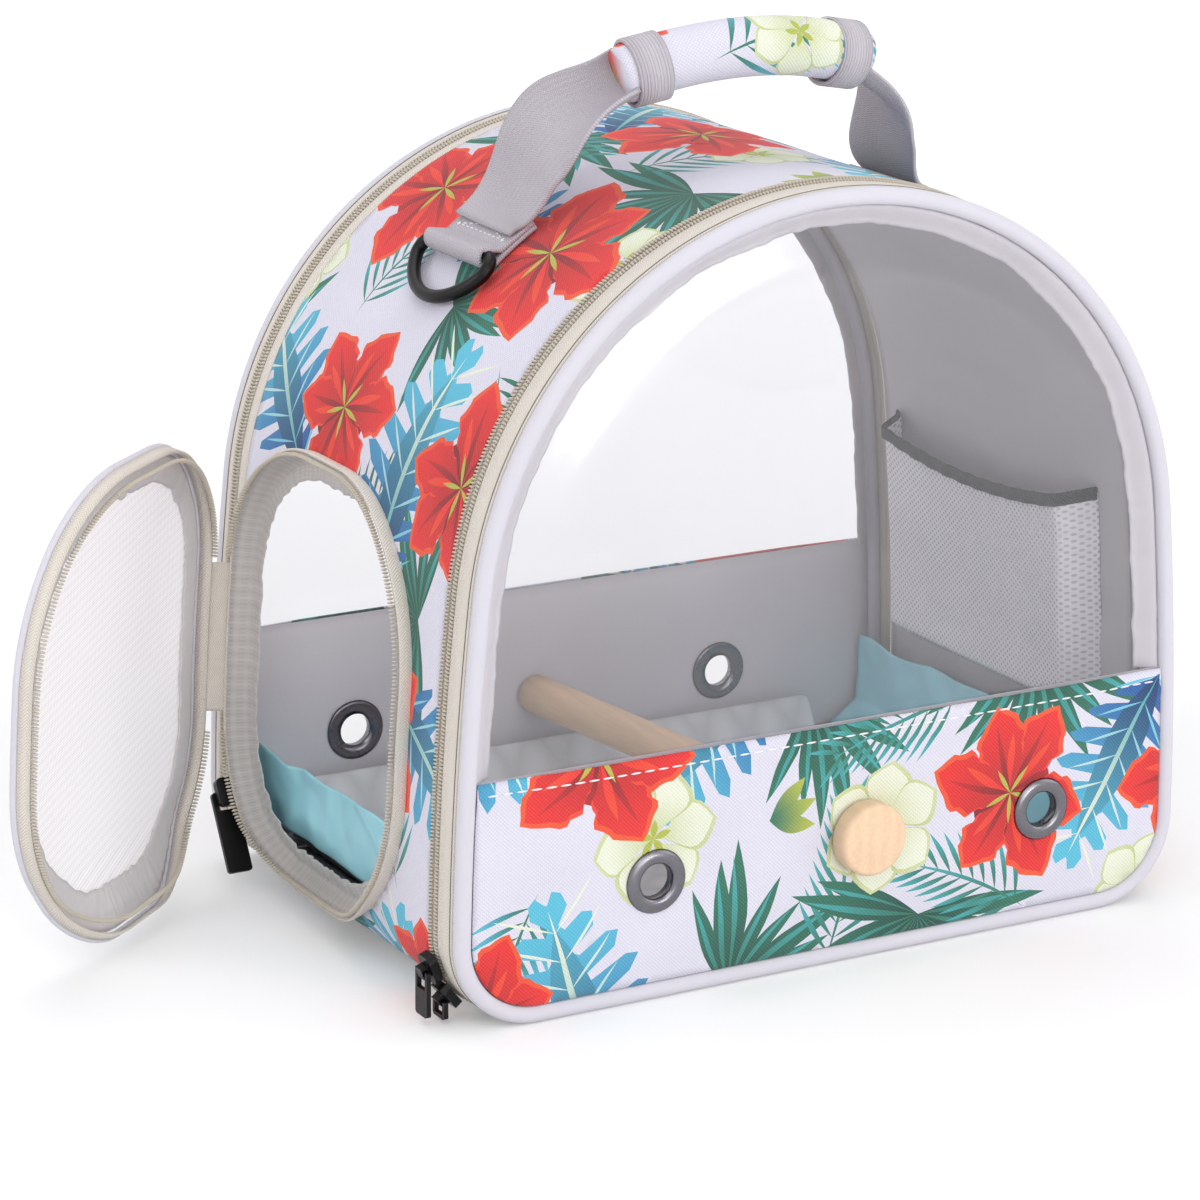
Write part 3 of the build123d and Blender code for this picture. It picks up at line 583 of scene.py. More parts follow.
# Threads, ribs, cells and the depth of a relief are in millimetres.
def cloth(shade, thread=0.9, depth=0.07, contrast=0.14, roughness=0.85, printed=False):
    """Woven cloth on a UV in metres; a printed one takes its colour from the piece's print. Its colour is
    mottled at random, darkened in the weave's hollows as painted shade and lightened on the thread tops as
    painted highlight.
    """
    material, nodes, shader = start_finish(Roughness=roughness, Sheen_Weight=0.15, Specular_IOR_Level=0.25)
    uv = nodes.uv()
    weave = nodes.group("plain_weave", uv, Thread=thread * MM)
    if printed:
        ink = nodes.add("ShaderNodeVertexColor", {"layer_name": "print"}).outputs[0]
        dark = nodes.mix(contrast, ink, (0.02, 0.02, 0.03, 1))
        light = nodes.mix(contrast * 0.2, ink, (1, 1, 1, 1))
    else:
        dark, light = opaque(shade, 1 - contrast), opaque(shade, 1 + contrast * 0.6)
    # Base colour: random mottle, with painted shade in the weave's hollows and painted highlight on the
    # thread tops.
    tone(nodes, shader, nodes.weighted(nodes.mottle(uv, 24.0), 0.35, weave["Shade"]), dark, light)
    bump(nodes, shader, weave["Height"], depth)
    return material


def ribbed_tape(shade, rib=1.1, column=2.4, depth=0.14, contrast=0.24):
    """Zip tape and webbing on a UV in metres, mottled at random and darker in the grooves between the
    herringbone ribs as painted shade.
    """
    material, nodes, shader = start_finish(Roughness=0.7, Sheen_Weight=0.2, Specular_IOR_Level=0.35)
    uv = nodes.uv()
    bone = nodes.group("herringbone", uv, Rib=rib * MM, Column=column * MM)[0]
    # The rib height tones the colour: painted shade in the grooves between ribs, with random mottle.
    blend = nodes.weighted(nodes.mottle(uv, 40.0), 0.3, bone)
    tone(nodes, shader, blend, opaque(shade, 1 - contrast), opaque(shade, 1 + contrast / 3))
    bump(nodes, shader, bone, depth)
    return material


def moulded(shade, roughness=0.4, metallic=0.0, grain=220.0, depth=0.05, contrast=0.12):
    """Smooth plastic, satin cord or metal with faint handling marks, on object coordinates."""
    material, nodes, shader = start_finish(Metallic=metallic)
    place = nodes.place()
    fine = nodes.mottle(place, grain)
    blend = nodes.weighted(nodes.mottle(place, grain / 7), 0.5, fine)
    tone(nodes, shader, blend, opaque(shade, 1 - contrast), opaque(shade, 1 + contrast))
    nodes.put(shader.inputs["Roughness"], nodes.math("MULTIPLY_ADD", blend, 0.25, roughness - 0.1))
    bump(nodes, shader, fine, depth)
    return material


def birch(shade):
    """Pale wood: fine grain along Y, with faint rings."""
    material, nodes, shader = start_finish(Roughness=0.55, Specular_IOR_Level=0.35)
    stretched = nodes.add("ShaderNodeMapping", Vector=nodes.place(), Scale=(1.0, 0.06, 1.0)).outputs[0]
    grain = nodes.noise(stretched, 900.0, 4.0)
    rings = nodes.add("ShaderNodeTexWave", {"bands_direction": "X"}, Vector=stretched, Scale=60.0,
                      Distortion=6.0, Detail=2.0)
    blend = nodes.weighted(rings.outputs[1], 0.2, grain)
    tone(nodes, shader, blend, opaque(shade, 0.82), opaque(shade, 1.08))
    bump(nodes, shader, grain, 0.06)
    return material


def clear_film():
    """Thin clear film: hazy, with a soft shine on its ripples and at a slant, seen from either side."""
    material, nodes, shader = start_finish(Base_Color=(0.86, 0.87, 0.9, 1), Roughness=0.5)
    place = nodes.place()
    slope = nodes.add("ShaderNodeBump", Height=nodes.noise(place, 9.0, 1.0), Distance=1.2 * MM,
                      Strength=0.6).outputs[0]
    haze = nodes.math("MULTIPLY_ADD", nodes.mottle(place, 12.0), 0.05, 0.02)
    clear = nodes.add("ShaderNodeBsdfTransparent", Color=(0.93, 0.925, 0.94, 1))
    veil = nodes.mix_shader(haze, clear.outputs[0], shader.outputs[0])
    shine = nodes.add("ShaderNodeBsdfGlossy", Color=(1, 1, 1, 1), Roughness=0.12, Normal=slope)
    behind = nodes.add("ShaderNodeNewGeometry").outputs["Backfacing"]
    index = nodes.math("MULTIPLY_ADD", behind, 1 / FILM_INDEX - FILM_INDEX, FILM_INDEX)
    glance = nodes.add("ShaderNodeFresnel", IOR=index, Normal=slope)
    glint = nodes.math("MULTIPLY", glance.outputs[0], 1.2)
    nodes.put(nodes.surface, nodes.mix_shader(glint, veil, shine.outputs[0]))
    return material


def net(shade, cell, solid, slant=0.0, ribs=0.0, through=0.5):
    """Knitted net on a UV in metres: open cells between threads, as solid as that between them."""
    material, nodes, shader = start_finish(Roughness=0.8, Sheen_Weight=0.2)
    turned_uv = nodes.add("ShaderNodeMapping", Vector=nodes.uv(), Rotation=(0, 0, math.radians(slant)))
    axes = nodes.add("ShaderNodeSeparateXYZ", Vector=turned_uv.outputs[0]).outputs
    hole = nodes.math("MULTIPLY", wave(nodes, axes[0], cell * MM), wave(nodes, axes[1], cell * MM))
    cover = nodes.add("ShaderNodeMapRange", Value=hole, From_Min=0.25, From_Max=0.6, To_Min=1.0,
                      To_Max=solid).outputs[0]
    nodes.put(shader.inputs["Alpha"], cover)
    rib = nodes.math("MULTIPLY_ADD", wave(nodes, axes[0], cell * 3 * MM), ribs, 1 - ribs)
    mixed = tone(nodes, shader, rib, opaque(shade, 0.72), opaque(shade, 1.0))
    bump(nodes, shader, hole, -0.12)
    lit = nodes.add("ShaderNodeBsdfTranslucent", Color=mixed).outputs[0]
    glow = nodes.mix_shader(cover, nodes.add("ShaderNodeBsdfTransparent").outputs[0], lit)
    nodes.put(nodes.surface, nodes.mix_shader(through, shader.outputs[0], glow))
    return material


def crinkled_film(shade):
    """Thin plastic film in sharp small folds, its colour lighter on the ridges and darker between them as
    painted highlight and painted shade.
    """
    material, nodes, shader = start_finish(Roughness=0.3, Specular_IOR_Level=0.5)
    folds = nodes.noise(nodes.place(), 70.0, 4.0, noise_type="RIDGED_MULTIFRACTAL")
    # The colour follows the fold height: painted highlight on the ridges and painted shade in the creases.
    tone(nodes, shader, folds, opaque(shade, 0.86), opaque(shade, 1.18))
    bump(nodes, shader, folds, 0.8)
    return material


def quilted(shade, diamond=14):
    """Soft non-woven top of the pad, pressed into small diamonds, darker where it is pressed as painted
    shade, with random mottle.
    """
    material, nodes, shader = start_finish(Roughness=0.9, Sheen_Weight=0.3)
    place = nodes.place()
    aslant = nodes.add("ShaderNodeMapping", Vector=place, Rotation=(0, 0, math.radians(45)))
    axes = nodes.add("ShaderNodeSeparateXYZ", Vector=aslant.outputs[0]).outputs
    puffs = nodes.math("MULTIPLY", wave(nodes, axes[0], diamond * MM), wave(nodes, axes[1], diamond * MM))
    height = nodes.math("MULTIPLY_ADD", nodes.mottle(place, 500.0), 0.2, nodes.math("POWER", puffs, 0.5))
    # The colour follows the puff height: painted shade in the pressed lines, with random mottle.
    tone(nodes, shader, height, opaque(shade, 0.82), opaque(shade, 1.02))
    bump(nodes, shader, height, 0.7)
    return material


FILM_INDEX = 1.5
FINISH_MAKERS = {
    "printed_canvas": lambda c: cloth(c.ground, thread=1.35, depth=0.1, printed=True, contrast=0.3),
    "base_cloth": lambda c: cloth([v * 0.55 for v in c.lining]),
    "lining": lambda c: cloth(c.lining, thread=0.5, depth=0.05, contrast=0.1, roughness=0.6),
    # The lining colour brightened 1.35 times: painted light on the inside of the band and on the window
    # frill, the same cloth as the lining.
    "painted_light_lining": lambda c: cloth([min(v * 1.35, 0.9) for v in c.lining], thread=0.5, depth=0.12),
    "foam": lambda c: moulded((0.75, 0.74, 0.74), roughness=0.9, grain=900.0, depth=0.2),
    "binding": lambda c: cloth((0.68, 0.64, 0.64), thread=0.55, depth=0.06, contrast=0.16),
    "tape": lambda c: ribbed_tape(c.tape),
    "teeth": lambda c: moulded(c.teeth, roughness=0.35, grain=400.0),
    "piping": lambda c: cloth(c.piping, thread=0.35, depth=0.06, contrast=0.07, roughness=0.5),
    "webbing": lambda c: ribbed_tape(c.webbing, rib=0.9, column=1.2, depth=0.22),
    "board": lambda c: moulded((0.3, 0.29, 0.28), roughness=0.8, grain=300.0),
    "dark_seam": lambda c: moulded((0.16, 0.14, 0.13), roughness=0.8),
    "thread": lambda c: moulded((0.8, 0.79, 0.8), roughness=0.6, grain=900.0),
    "wood": lambda c: birch(c.wood),
    "dark_metal": lambda c: moulded(c.metal, roughness=0.35, metallic=0.6, contrast=0.2),
    "eyelet_metal": lambda c: moulded(c.eyelet, roughness=0.24, metallic=1.0, contrast=0.1),
    "steel": lambda c: moulded((0.5, 0.5, 0.52), roughness=0.3, metallic=1.0),
    "window_film": lambda c: clear_film(),
    "door_net": lambda c: net((0.97, 0.95, 0.96), 1.0, 0.8, slant=78, ribs=0.2),
    "pocket_net": lambda c: net((0.97, 0.95, 0.98), 1.8, 0.55, slant=45, ribs=0.1, through=0.1),
    "frill_net": lambda c: net((0.8, 0.77, 0.75), 1.2, 0.9, ribs=0.3),
    "elastic": lambda c: ribbed_tape((0.05, 0.045, 0.05), rib=1.5, column=40, depth=0.4),
    "pad_film": lambda c: crinkled_film(c.film),
    "pad_core": lambda c: quilted((0.8, 0.8, 0.81)),
}


def finish(name):
    """The carrier's own material of that name, made when first asked for."""
    label = f"carrier_{name}"
    made = bpy.data.materials.get(label)
    if made is None:
        made = FINISH_MAKERS[name](bpy.context.scene.carrier_colours)
        made.name = label
    return made


# ---- repeating teeth and stitches -------------------------------------------------------------
BEAD_INPUTS = ("Pitch", "Bead Length", "Bead Width", "Bead Height", "Slant")


def bead_tree():
    """Beads set along a path and turned with it: zip teeth and stitches."""
    tree = bpy.data.node_groups.new("beads_along_path", "GeometryNodeTree")
    kinds = {"Path": "Geometry", **dict.fromkeys(BEAD_INPUTS, "Float"), "Finish": "Material"}
    for label, kind in kinds.items():
        tree.interface.new_socket(label, in_out="INPUT", socket_type=f"NodeSocket{kind}")
    tree.interface.new_socket("Beads", in_out="OUTPUT", socket_type="NodeSocketGeometry")
    nodes = Nodes(tree)
    source = nodes.add("NodeGroupInput").outputs
    curve = nodes.add("GeometryNodeMeshToCurve", Mesh=source["Path"])
    even = nodes.add("GeometryNodeResampleCurve", {"mode": "LENGTH"}, Curve=curve.outputs[0],
                     Length=source["Pitch"])
    out = nodes.add("GeometryNodeInputNamedAttribute", {"data_type": "FLOAT_VECTOR"}, Name="out")
    tangent = nodes.add("GeometryNodeInputTangent")
    along = nodes.add("FunctionNodeAlignRotationToVector", {"axis": "X"}, Vector=tangent.outputs[0])
    upright = nodes.add("FunctionNodeAlignRotationToVector", {"axis": "Z", "pivot_axis": "X"},
                        Rotation=along.outputs[0], Vector=out.outputs[0])
    slant = nodes.add("ShaderNodeCombineXYZ", Z=source["Slant"])
    turn = nodes.add("FunctionNodeEulerToRotation", Euler=slant.outputs[0])
    rotated = nodes.add("FunctionNodeRotateRotation", {"rotation_space": "LOCAL"},
                        Rotation=upright.outputs[0], Rotate_By=turn.outputs[0])
    bead = nodes.add("GeometryNodeMeshUVSphere", Segments=8, Rings=5, Radius=0.5)
    size = nodes.add("ShaderNodeCombineXYZ", X=source["Bead Length"], Y=source["Bead Width"],
                     Z=source["Bead Height"])
    shaped = nodes.add("GeometryNodeTransform", Geometry=bead.outputs[0], Scale=size.outputs[0])
    smooth = nodes.add("GeometryNodeSetShadeSmooth", Geometry=shaped.outputs[0])
    placed = nodes.add("GeometryNodeInstanceOnPoints", Points=even.outputs[0], Instance=smooth.outputs[0],
                       Rotation=rotated.outputs[0])
    real = nodes.add("GeometryNodeRealizeInstances", Geometry=placed.outputs[0])
    coloured = nodes.add("GeometryNodeSetMaterial", Geometry=real.outputs[0], Material=source["Finish"])
    nodes.put(nodes.add("NodeGroupOutput").inputs[0], coloured.outputs[0])
    return tree


def beads(name, stations, pitch, size, finish_name, slant=0.0):
    """Teeth or stitches along stations of (point, outward), size = (along, across, out)."""
    mesh = bpy.data.meshes.new(name)
    links = [(index, index + 1) for index in range(len(stations) - 1)]
    mesh.from_pydata([point for point, _ in stations], links, [])
    layer = mesh.attributes.new("out", "FLOAT_VECTOR", "POINT")
    layer.data.foreach_set("vector", [value for _, out in stations for value in out])
    piece = new_piece(name, mesh, finish_name)
    modifier = piece.modifiers.new("Beads", "NODES")
    modifier.node_group = bpy.data.node_groups.get("beads_along_path") or bead_tree()
    values = dict(zip(BEAD_INPUTS, (pitch, *size, slant)), Finish=finish(finish_name))
    for item in modifier.node_group.interface.items_tree:
        if item.in_out == "INPUT" and item.name in values:
            modifier[item.identifier] = values[item.name]
    settle(piece)
    return piece


# ---- the printed pattern ----------------------------------------------------------------------
def heading(angle):
    """The direction of an angle, and the one to its left."""
    along = Vector((math.cos(angle), math.sin(angle)))
    return along, Vector((-along.y, along.x))


def blade(root, angle, size, width, bend=0.0, belly=0.5, wavy=0.0, steps=10):
    """The outline of a pointed leaf or petal, widest at belly, bent sideways, with a wavy edge."""
    along, side = heading(angle)
    power = math.log(0.5) / math.log(belly)
    left, right = [], []
    for index in range(steps + 1):
        part = index / steps
        centre = root + along * (size * part) + side * (bend * size * part * part)
        half = width / 2 * math.sin(math.pi * part**power)
        ruffle = wavy * math.sin(9 * math.pi * part)
        left.append(centre + side * half * (1 + ruffle))
        right.append(centre - side * half * (1 - ruffle))
    return left + right[-2:0:-1]


def fade(root, angle, size, start, end):
    """A colour that runs from start at the root to end at the tip."""
    along, _ = heading(angle)

    def tint(point):
        part = smooth_step((point - root).dot(along) / size)
        return [a + (b - a) * part for a, b in zip(start, end)]

    return tint


def darker(shade, factor):
    return [channel * factor for channel in shade]


def bloom(root, angle, size, inks, rng):
    """An open six-petal flower with bright edges and dark folds."""
    throat = [root + heading(t)[0] * size * 0.5 for t in spread(0, 2 * math.pi, 19)[:-1]]
    shapes = [(throat, fade(root, angle, size, inks.deep_red, inks.red))]
    for index in range(6):
        turn = angle + index * math.pi / 3 + rng.uniform(-0.16, 0.16)
        reach = size * rng.uniform(0.85, 1.1)
        bend = rng.uniform(-0.14, 0.14)
        edge = blade(root, turn, reach, reach * 0.62, bend, 0.6, 0.1, 16)
        body = blade(root, turn, reach * 0.95, reach * 0.53, bend, 0.58, 0.1, 16)
        fold = blade(root, turn + 0.05, reach * 0.82, reach * 0.07, bend, 0.4)
        gleam = blade(root, turn - 0.2, reach * 0.66, reach * 0.09, bend, 0.6)
        for outline, start, end in (
            (edge, inks.red, inks.orange), (body, darker(inks.red, 0.62), inks.red),
            (gleam, inks.red, inks.orange), (fold, inks.deep_red, darker(inks.red, 0.75)),
        ):
            shapes.append((outline, fade(root, turn, reach, start, end)))
    return shapes + stamens(root, angle, size, 0.34, 0.05, inks.lime, inks.orange)


def stamens(root, angle, size, reach, width, start, end):
    turns = [angle + index * 1.26 for index in range(5)]
    return [(blade(root, t, size * reach, size * width), fade(root, t, size, start, end)) for t in turns]


def broad_leaf(root, angle, size, inks, rng):
    """A broad leaf slit into lobes, dark at its root and bright at its tip."""
    along, side = heading(angle)
    lobes, width = 7, size * 0.7
    root = root - along * (size / 2)

    def point(part, reach):
        half = width / 2 * math.sin(math.pi * min(part * 0.92 + 0.06, 1.0) ** 0.8)
        return root + along * (size * (part + 0.1 * abs(reach))) + side * (half * reach)

    sides, veins = [], []
    for sign in (1, -1):
        loop = []
        for index in range(lobes):
            start, end = index / lobes, (index + 1) / lobes
            centre = (start + end) / 2
            loop += [point(start + 0.02, 0.2 * sign), point(start + 0.03, 0.8 * sign), point(centre, sign)]
            loop += [point(end - 0.035, 0.86 * sign), point(end - 0.02, 0.3 * sign)]
            veins.append(blade(point(centre - 0.06, 0), angle + sign * 0.95, width * 0.42, size * 0.014))
        sides.append(loop)
    outline = [point(0, 0), *sides[0], point(1, 0), *reversed(sides[1])]
    inner = blade(root, angle, size * 0.9, width * 0.34, 0, 0.45)
    rib = blade(root, angle, size * 0.98, size * 0.03)
    inner_shades = darker(inks.blue, 0.45), darker(inks.cyan, 0.75)
    shapes = [(outline, inks.blue, inks.cyan), (inner, *inner_shades)]
    shapes += [(vein, inks.cyan, inks.cream) for vein in veins] + [(rib, inks.teal, inks.cream)]
    return [(loop, fade(root, angle, size, start, end)) for loop, start, end in shapes]


def fan_leaf(root, angle, size, inks, rng):
    """A fan of narrow dark leaflets, each with a lit side."""
    shapes = []
    for index in range(13):
        turn = angle + (index - 6) * 0.3 + rng.uniform(-0.05, 0.05)
        reach = size * rng.uniform(0.75, 1.05)
        bend = rng.uniform(-0.12, 0.12)
        leaflet = blade(root, turn, reach, reach * 0.15, bend)
        lit = blade(root, turn + 0.03, reach * 0.9, reach * 0.045, bend)
        shapes.append((leaflet, fade(root, turn, reach, inks.dark_green, inks.mid_green)))
        shapes.append((lit, fade(root, turn, reach, inks.mid_green, inks.teal)))
    return shapes


def sprig(root, angle, size, inks, rng):
    """A bent stem with thin leaflets in pairs."""
    stem = blade(root, angle, size, size * 0.025, 0.2)
    shapes = [(stem, fade(root, angle, size, inks.mid_green, inks.teal))]
    along, side = heading(angle)
    shade = rng.choice([inks.teal, inks.mid_green, inks.cyan])
    for index in range(1, 11):
        part = index / 11
        joint = root + along * (size * part) + side * (0.2 * size * part * part)
        for sign in (1, -1):
            turn = angle + 0.35 * part + sign * (1.0 - 0.4 * part)
            reach = size * (0.46 - 0.22 * part)
            leaflet = blade(joint, turn, reach, size * 0.035, -0.12 * sign, 0.5, 0.0, 7)
            shapes.append((leaflet, fade(joint, turn, reach, inks.mid_green, shade)))
    return shapes


def blossom(root, angle, size, inks, rng):
    """A pale flower of round petals."""
    shapes = []
    edge = [(a + b) / 2 for a, b in zip(inks.lime, inks.cream)]
    for index in range(6):
        turn = angle + index * math.pi / 3 + rng.uniform(-0.1, 0.1)
        rim = blade(root, turn, size * 1.03, size * 0.8, 0.0, 0.66)
        petal = blade(root, turn, size * 0.97, size * 0.7, 0.03, 0.66)
        shapes.append((rim, fade(root, turn, size, inks.lime, edge)))
        shapes.append((petal, fade(root, turn, size * 0.8, edge, inks.cream)))
    return shapes + stamens(root, angle, size, 0.3, 0.12, inks.lime, inks.lime)


def bud(root, angle, size, inks, rng):
    turns = (angle - 0.5, angle + 0.5, angle)
    tints = [fade(root, turn, size, inks.mid_green, inks.lime) for turn in turns]
    return [(blade(root, turn, size, size * 0.34, 0.1), tint) for turn, tint in zip(turns, tints)]


MOTIFS = {  # maker, size, layer
    "fan": (fan_leaf, 50 * MM, 0),
    "sprig": (sprig, 60 * MM, 0),
    "broad": (broad_leaf, 76 * MM, 1),
    "blossom": (blossom, 21 * MM, 2),
    "bloom": (bloom, 36 * MM, 3),
    "bud": (bud, 20 * MM, 4),
}
ORDER = ["bloom", "fan", "blossom", "broad", "sprig", "bloom", "fan", "blossom", "broad", "sprig", "bud"]


def print_field(seed, low, high, pitch, inks):
    """Motifs scattered on staggered rows, the small ones on top."""
    rng = random.Random(seed)
    placed = []
    columns = math.ceil((high.x - low.x) / pitch) + 1
    rows = math.ceil((high.y - low.y) / pitch) + 1
    for column in range(columns):
        for row in range(rows):
            x = low.x + (column + 0.5 * (row % 2)) * pitch + rng.uniform(-0.2, 0.2) * pitch
            y = low.y + row * pitch + rng.uniform(-0.2, 0.2) * pitch
            maker, size, layer = MOTIFS[ORDER[(column * 3 + row * 4) % len(ORDER)]]
            angle, reach = rng.uniform(0, 2 * math.pi), size * rng.uniform(0.85, 1.1)
            placed.append((layer, len(placed), maker(Vector((x, y)), angle, reach, inks, rng)))
    return [shape for _, _, shapes in sorted(placed, key=lambda item: item[:2]) for shape in shapes]


def reach_of(loop):
    xs, ys = [p.x for p in loop], [p.y for p in loop]
    return min(xs), max(xs), min(ys), max(ys)


def signed_area(loop):
    return sum(a.x * b.y - b.x * a.y for a, b in zip(loop, loop[1:] + loop[:1])) / 2


def flat_area(outline, holes=()):
    return abs(signed_area(outline)) - sum(abs(signed_area(hole)) for hole in holes)


def cut_tile(border, inner, outline, holes, shapes):
    """The triangles of a cut inside one tile, each with the number of the shape on top, or -1."""
    points, faces = [], []
    for loop in [border, outline, *holes, *[shape[0] for shape in shapes]]:
        faces.append(list(range(len(points), len(points) + len(loop))))
        points += loop if signed_area(loop) > 0 else loop[::-1]
    flat, _, triangles, _, _, sources = geometry.delaunay_2d_cdt(points + inner, [], faces, 0, 1e-7, True)
    first = 2 + len(holes)
    kept = []
    for triangle, source in zip(triangles, sources):
        if 0 in source and 1 in source and not any(1 < index < first for index in source):
            kept.append((triangle, max(source) - first if max(source) >= first else -1))
    return flat, kept


PRINT_PITCH = 44 * MM
PRINT_SEEDS = {"canvas": 11, "front": 29, "rear": 47, "grip": 71}
TILE = 30 * MM


def cut_cloth(name, outline, holes, place, finish_name, spacing=4.0, seed=None):
    """A flat cut with holes, laid on its surface by place(x, y). With a seed it carries the print."""
    left, right, low, high = reach_of(outline)
    spacing *= MM
    inks = bpy.context.scene.carrier_colours
    shapes = []
    if seed is not None:
        shapes = print_field(seed, Vector((left, low)), Vector((right, high)), PRINT_PITCH, inks)
    reaches = [reach_of(shape[0]) for shape in shapes]
    xs = spread(left, right, max(3, round((right - left) / spacing) + 1))
    ys = spread(low, high, max(3, round((high - low) / spacing) + 1))
    step = round(TILE / spacing) if shapes else max(len(xs), len(ys))
    points, faces, corners, shades = [], [], [], []
    for i in range(0, len(xs) - 1, step):
        for j in range(0, len(ys) - 1, step):
            tile_x, tile_y = xs[i : i + step + 1], ys[j : j + step + 1]
            x0, x1, y0, y1 = tile_x[0], tile_x[-1], tile_y[0], tile_y[-1]
            border = [Vector((x, y0)) for x in tile_x[:-1]] + [Vector((x1, y)) for y in tile_y[:-1]]
            border += [Vector((x, y1)) for x in tile_x[:0:-1]] + [Vector((x0, y)) for y in tile_y[:0:-1]]
            inner = [Vector((x, y)) for x in tile_x[1:-1] for y in tile_y[1:-1]]
            near = [
                shape for shape, (a0, a1, b0, b1) in zip(shapes, reaches)
                if a0 <= x1 and a1 >= x0 and b0 <= y1 and b1 >= y0
            ]
            flat, kept = cut_tile(border, inner, outline, holes, near)
            number = {}
            for triangle, top in kept:
                for index in triangle:
                    if index not in number:
                        number[index] = len(points)
                        points.append(place(*flat[index]))
                    corners.append(tuple(flat[index]))
                    shades += [*(near[top][1](Vector(flat[index])) if top >= 0 else inks.ground), 1.0]
                faces.append([number[index] for index in triangle])
    piece = mesh_piece(name, points, faces, finish_name, corners)
    if shapes:
        layer = piece.data.color_attributes.new("print", "FLOAT_COLOR", "CORNER")
        layer.data.foreach_set("color", shades)
    merge_close(piece, 2e-6)
    return piece


# ---- cabin ------------------------------------------------------------------------------------
CORNER_POINTS, EDGE_POINTS = 22, 10  # in each corner and each edge of the side opening's outline


def side_loop(sizes, grow):
    """The side opening's outline in the YZ plane, grown by grow, as (y, z, outward y, outward z)."""
    rear, front = sizes.hinge_y, sizes.hinge_y - sizes.width
    low, high = sizes.bottom, sizes.bottom + sizes.height
    hinge, free = sizes.hinge_corner, sizes.free_corner
    corners = [
        (rear - hinge, low + hinge, hinge, -90), (rear - hinge, high - hinge, hinge, 0),
        (front + free, high - free, free, 90), (front + free, low + free, free, 180),
    ]

    def spot(y, z, radius, degrees):
        out_y, out_z = math.cos(math.radians(degrees)), math.sin(math.radians(degrees))
        return (radius + grow) * out_y + y, (radius + grow) * out_z + z, out_y, out_z

    loop = []
    for (y, z, radius, start), following in zip(corners, corners[1:] + corners[:1]):
        loop += [spot(y, z, radius, degrees) for degrees in spread(start, start + 90, CORNER_POINTS)]
        begin, end = loop[-1], spot(*following)
        for part in spread(0, 1, EDGE_POINTS + 2)[1:-1]:
            loop.append(tuple(a + (b - a) * part for a, b in zip(begin, end)))
    return loop


def loop_length(loop):
    return distances([spot[:2] for spot in loop + loop[:1]])[-1]


def wall_out(arch, z, out=0.0):
    """The x of the left wall at a height, stood out from it, and the wall's normal."""
    point, normal = arch.at(arch.left_at_height(z), 0, out)
    return point.x, normal


def side_ring(name, arch, sizes, profile, finish_name):
    """A ring round the side opening; profile is (grow from the outline, distance out of the wall), in mm."""
    stations = []
    for y, z, out_y, out_z in side_loop(sizes, 0.0):
        x, normal = wall_out(arch, z)
        stations.append((Vector((x, y, z)), Vector((0, out_y, out_z)), normal))
    return loft(name, stations, [(grow * MM, out * MM) for grow, out in profile], finish_name)


def wall_layer(name, arch, door, node, slot, start, grow, thickness, place, finish_name, **cut):
    """A layer of the wall over the arch, with the side opening cut out: the piece, its flat size and area."""
    front, rear = extent(node, 1)
    end = arch.length - start
    outline = [Vector((front, start)), Vector((rear, start)), Vector((rear, end)), Vector((front, end))]
    opening = [Vector((y, arch.left_at_height(z))) for y, z, _, _ in side_loop(door, grow)]
    piece = thicken(cut_cloth(name, outline, [opening], place, finish_name, **cut), thickness, 1.0)
    face_outwards(piece)
    settled(piece, "cabin", slot, node)
    return piece, (rear - front, end - start), (rear - front) * (end - start) - flat_area(opening)


def make_canvas(arch, door):
    """The printed canvas from zip to zip over the arch."""
    start = arch.left_at_height(extent("gusset_fabric", 2)[0])

    def place(y, s):
        lift = 0.35 * MM * ripple(y, s, 3.0, 0.05)
        return arch.at(s, y, lift - 0.3 * MM)[0]

    piece, flat, area = wall_layer("canvas", arch, door, "gusset_fabric", "printed_fabric", start, 0.7 * MM,
                                   0.7 * MM, place, "printed_canvas", seed=PRINT_SEEDS["canvas"])


def make_padding(arch, cabin, door):
    """The foam in the wall."""

    def place(y, s):
        return arch.at(s, y, -cabin.canvas - 0.1 * MM)[0]

    piece, _, _ = wall_layer("wall_padding", arch, door, "gusset_foam", "wall_foam", 0.0, 0.0,
                             cabin.foam - 0.4 * MM, place, "foam", spacing=6)


def make_lining(arch, cabin, door):
    """The wrinkled lining inside the arch."""
    front, rear = extent("gusset_lining", 1)
    inset = cabin.canvas + cabin.foam + 0.1 * MM

    def place(y, s):
        edge = smooth_step(min(y - front, rear - y) / (12 * MM))
        folds = abs(ripple(y * 0.5, s, 5.0, 0.022)) + 0.5 * abs(ripple(y, s * 0.5, 9.0, 0.012))
        return arch.at(s, y, -inset - cabin.wrinkle * folds * edge)[0]

    piece, flat, area = wall_layer("cabin_lining", arch, door, "gusset_lining", "lining", 0.0, 0.0,
                                   0.5 * MM, place, "lining", spacing=2.6)


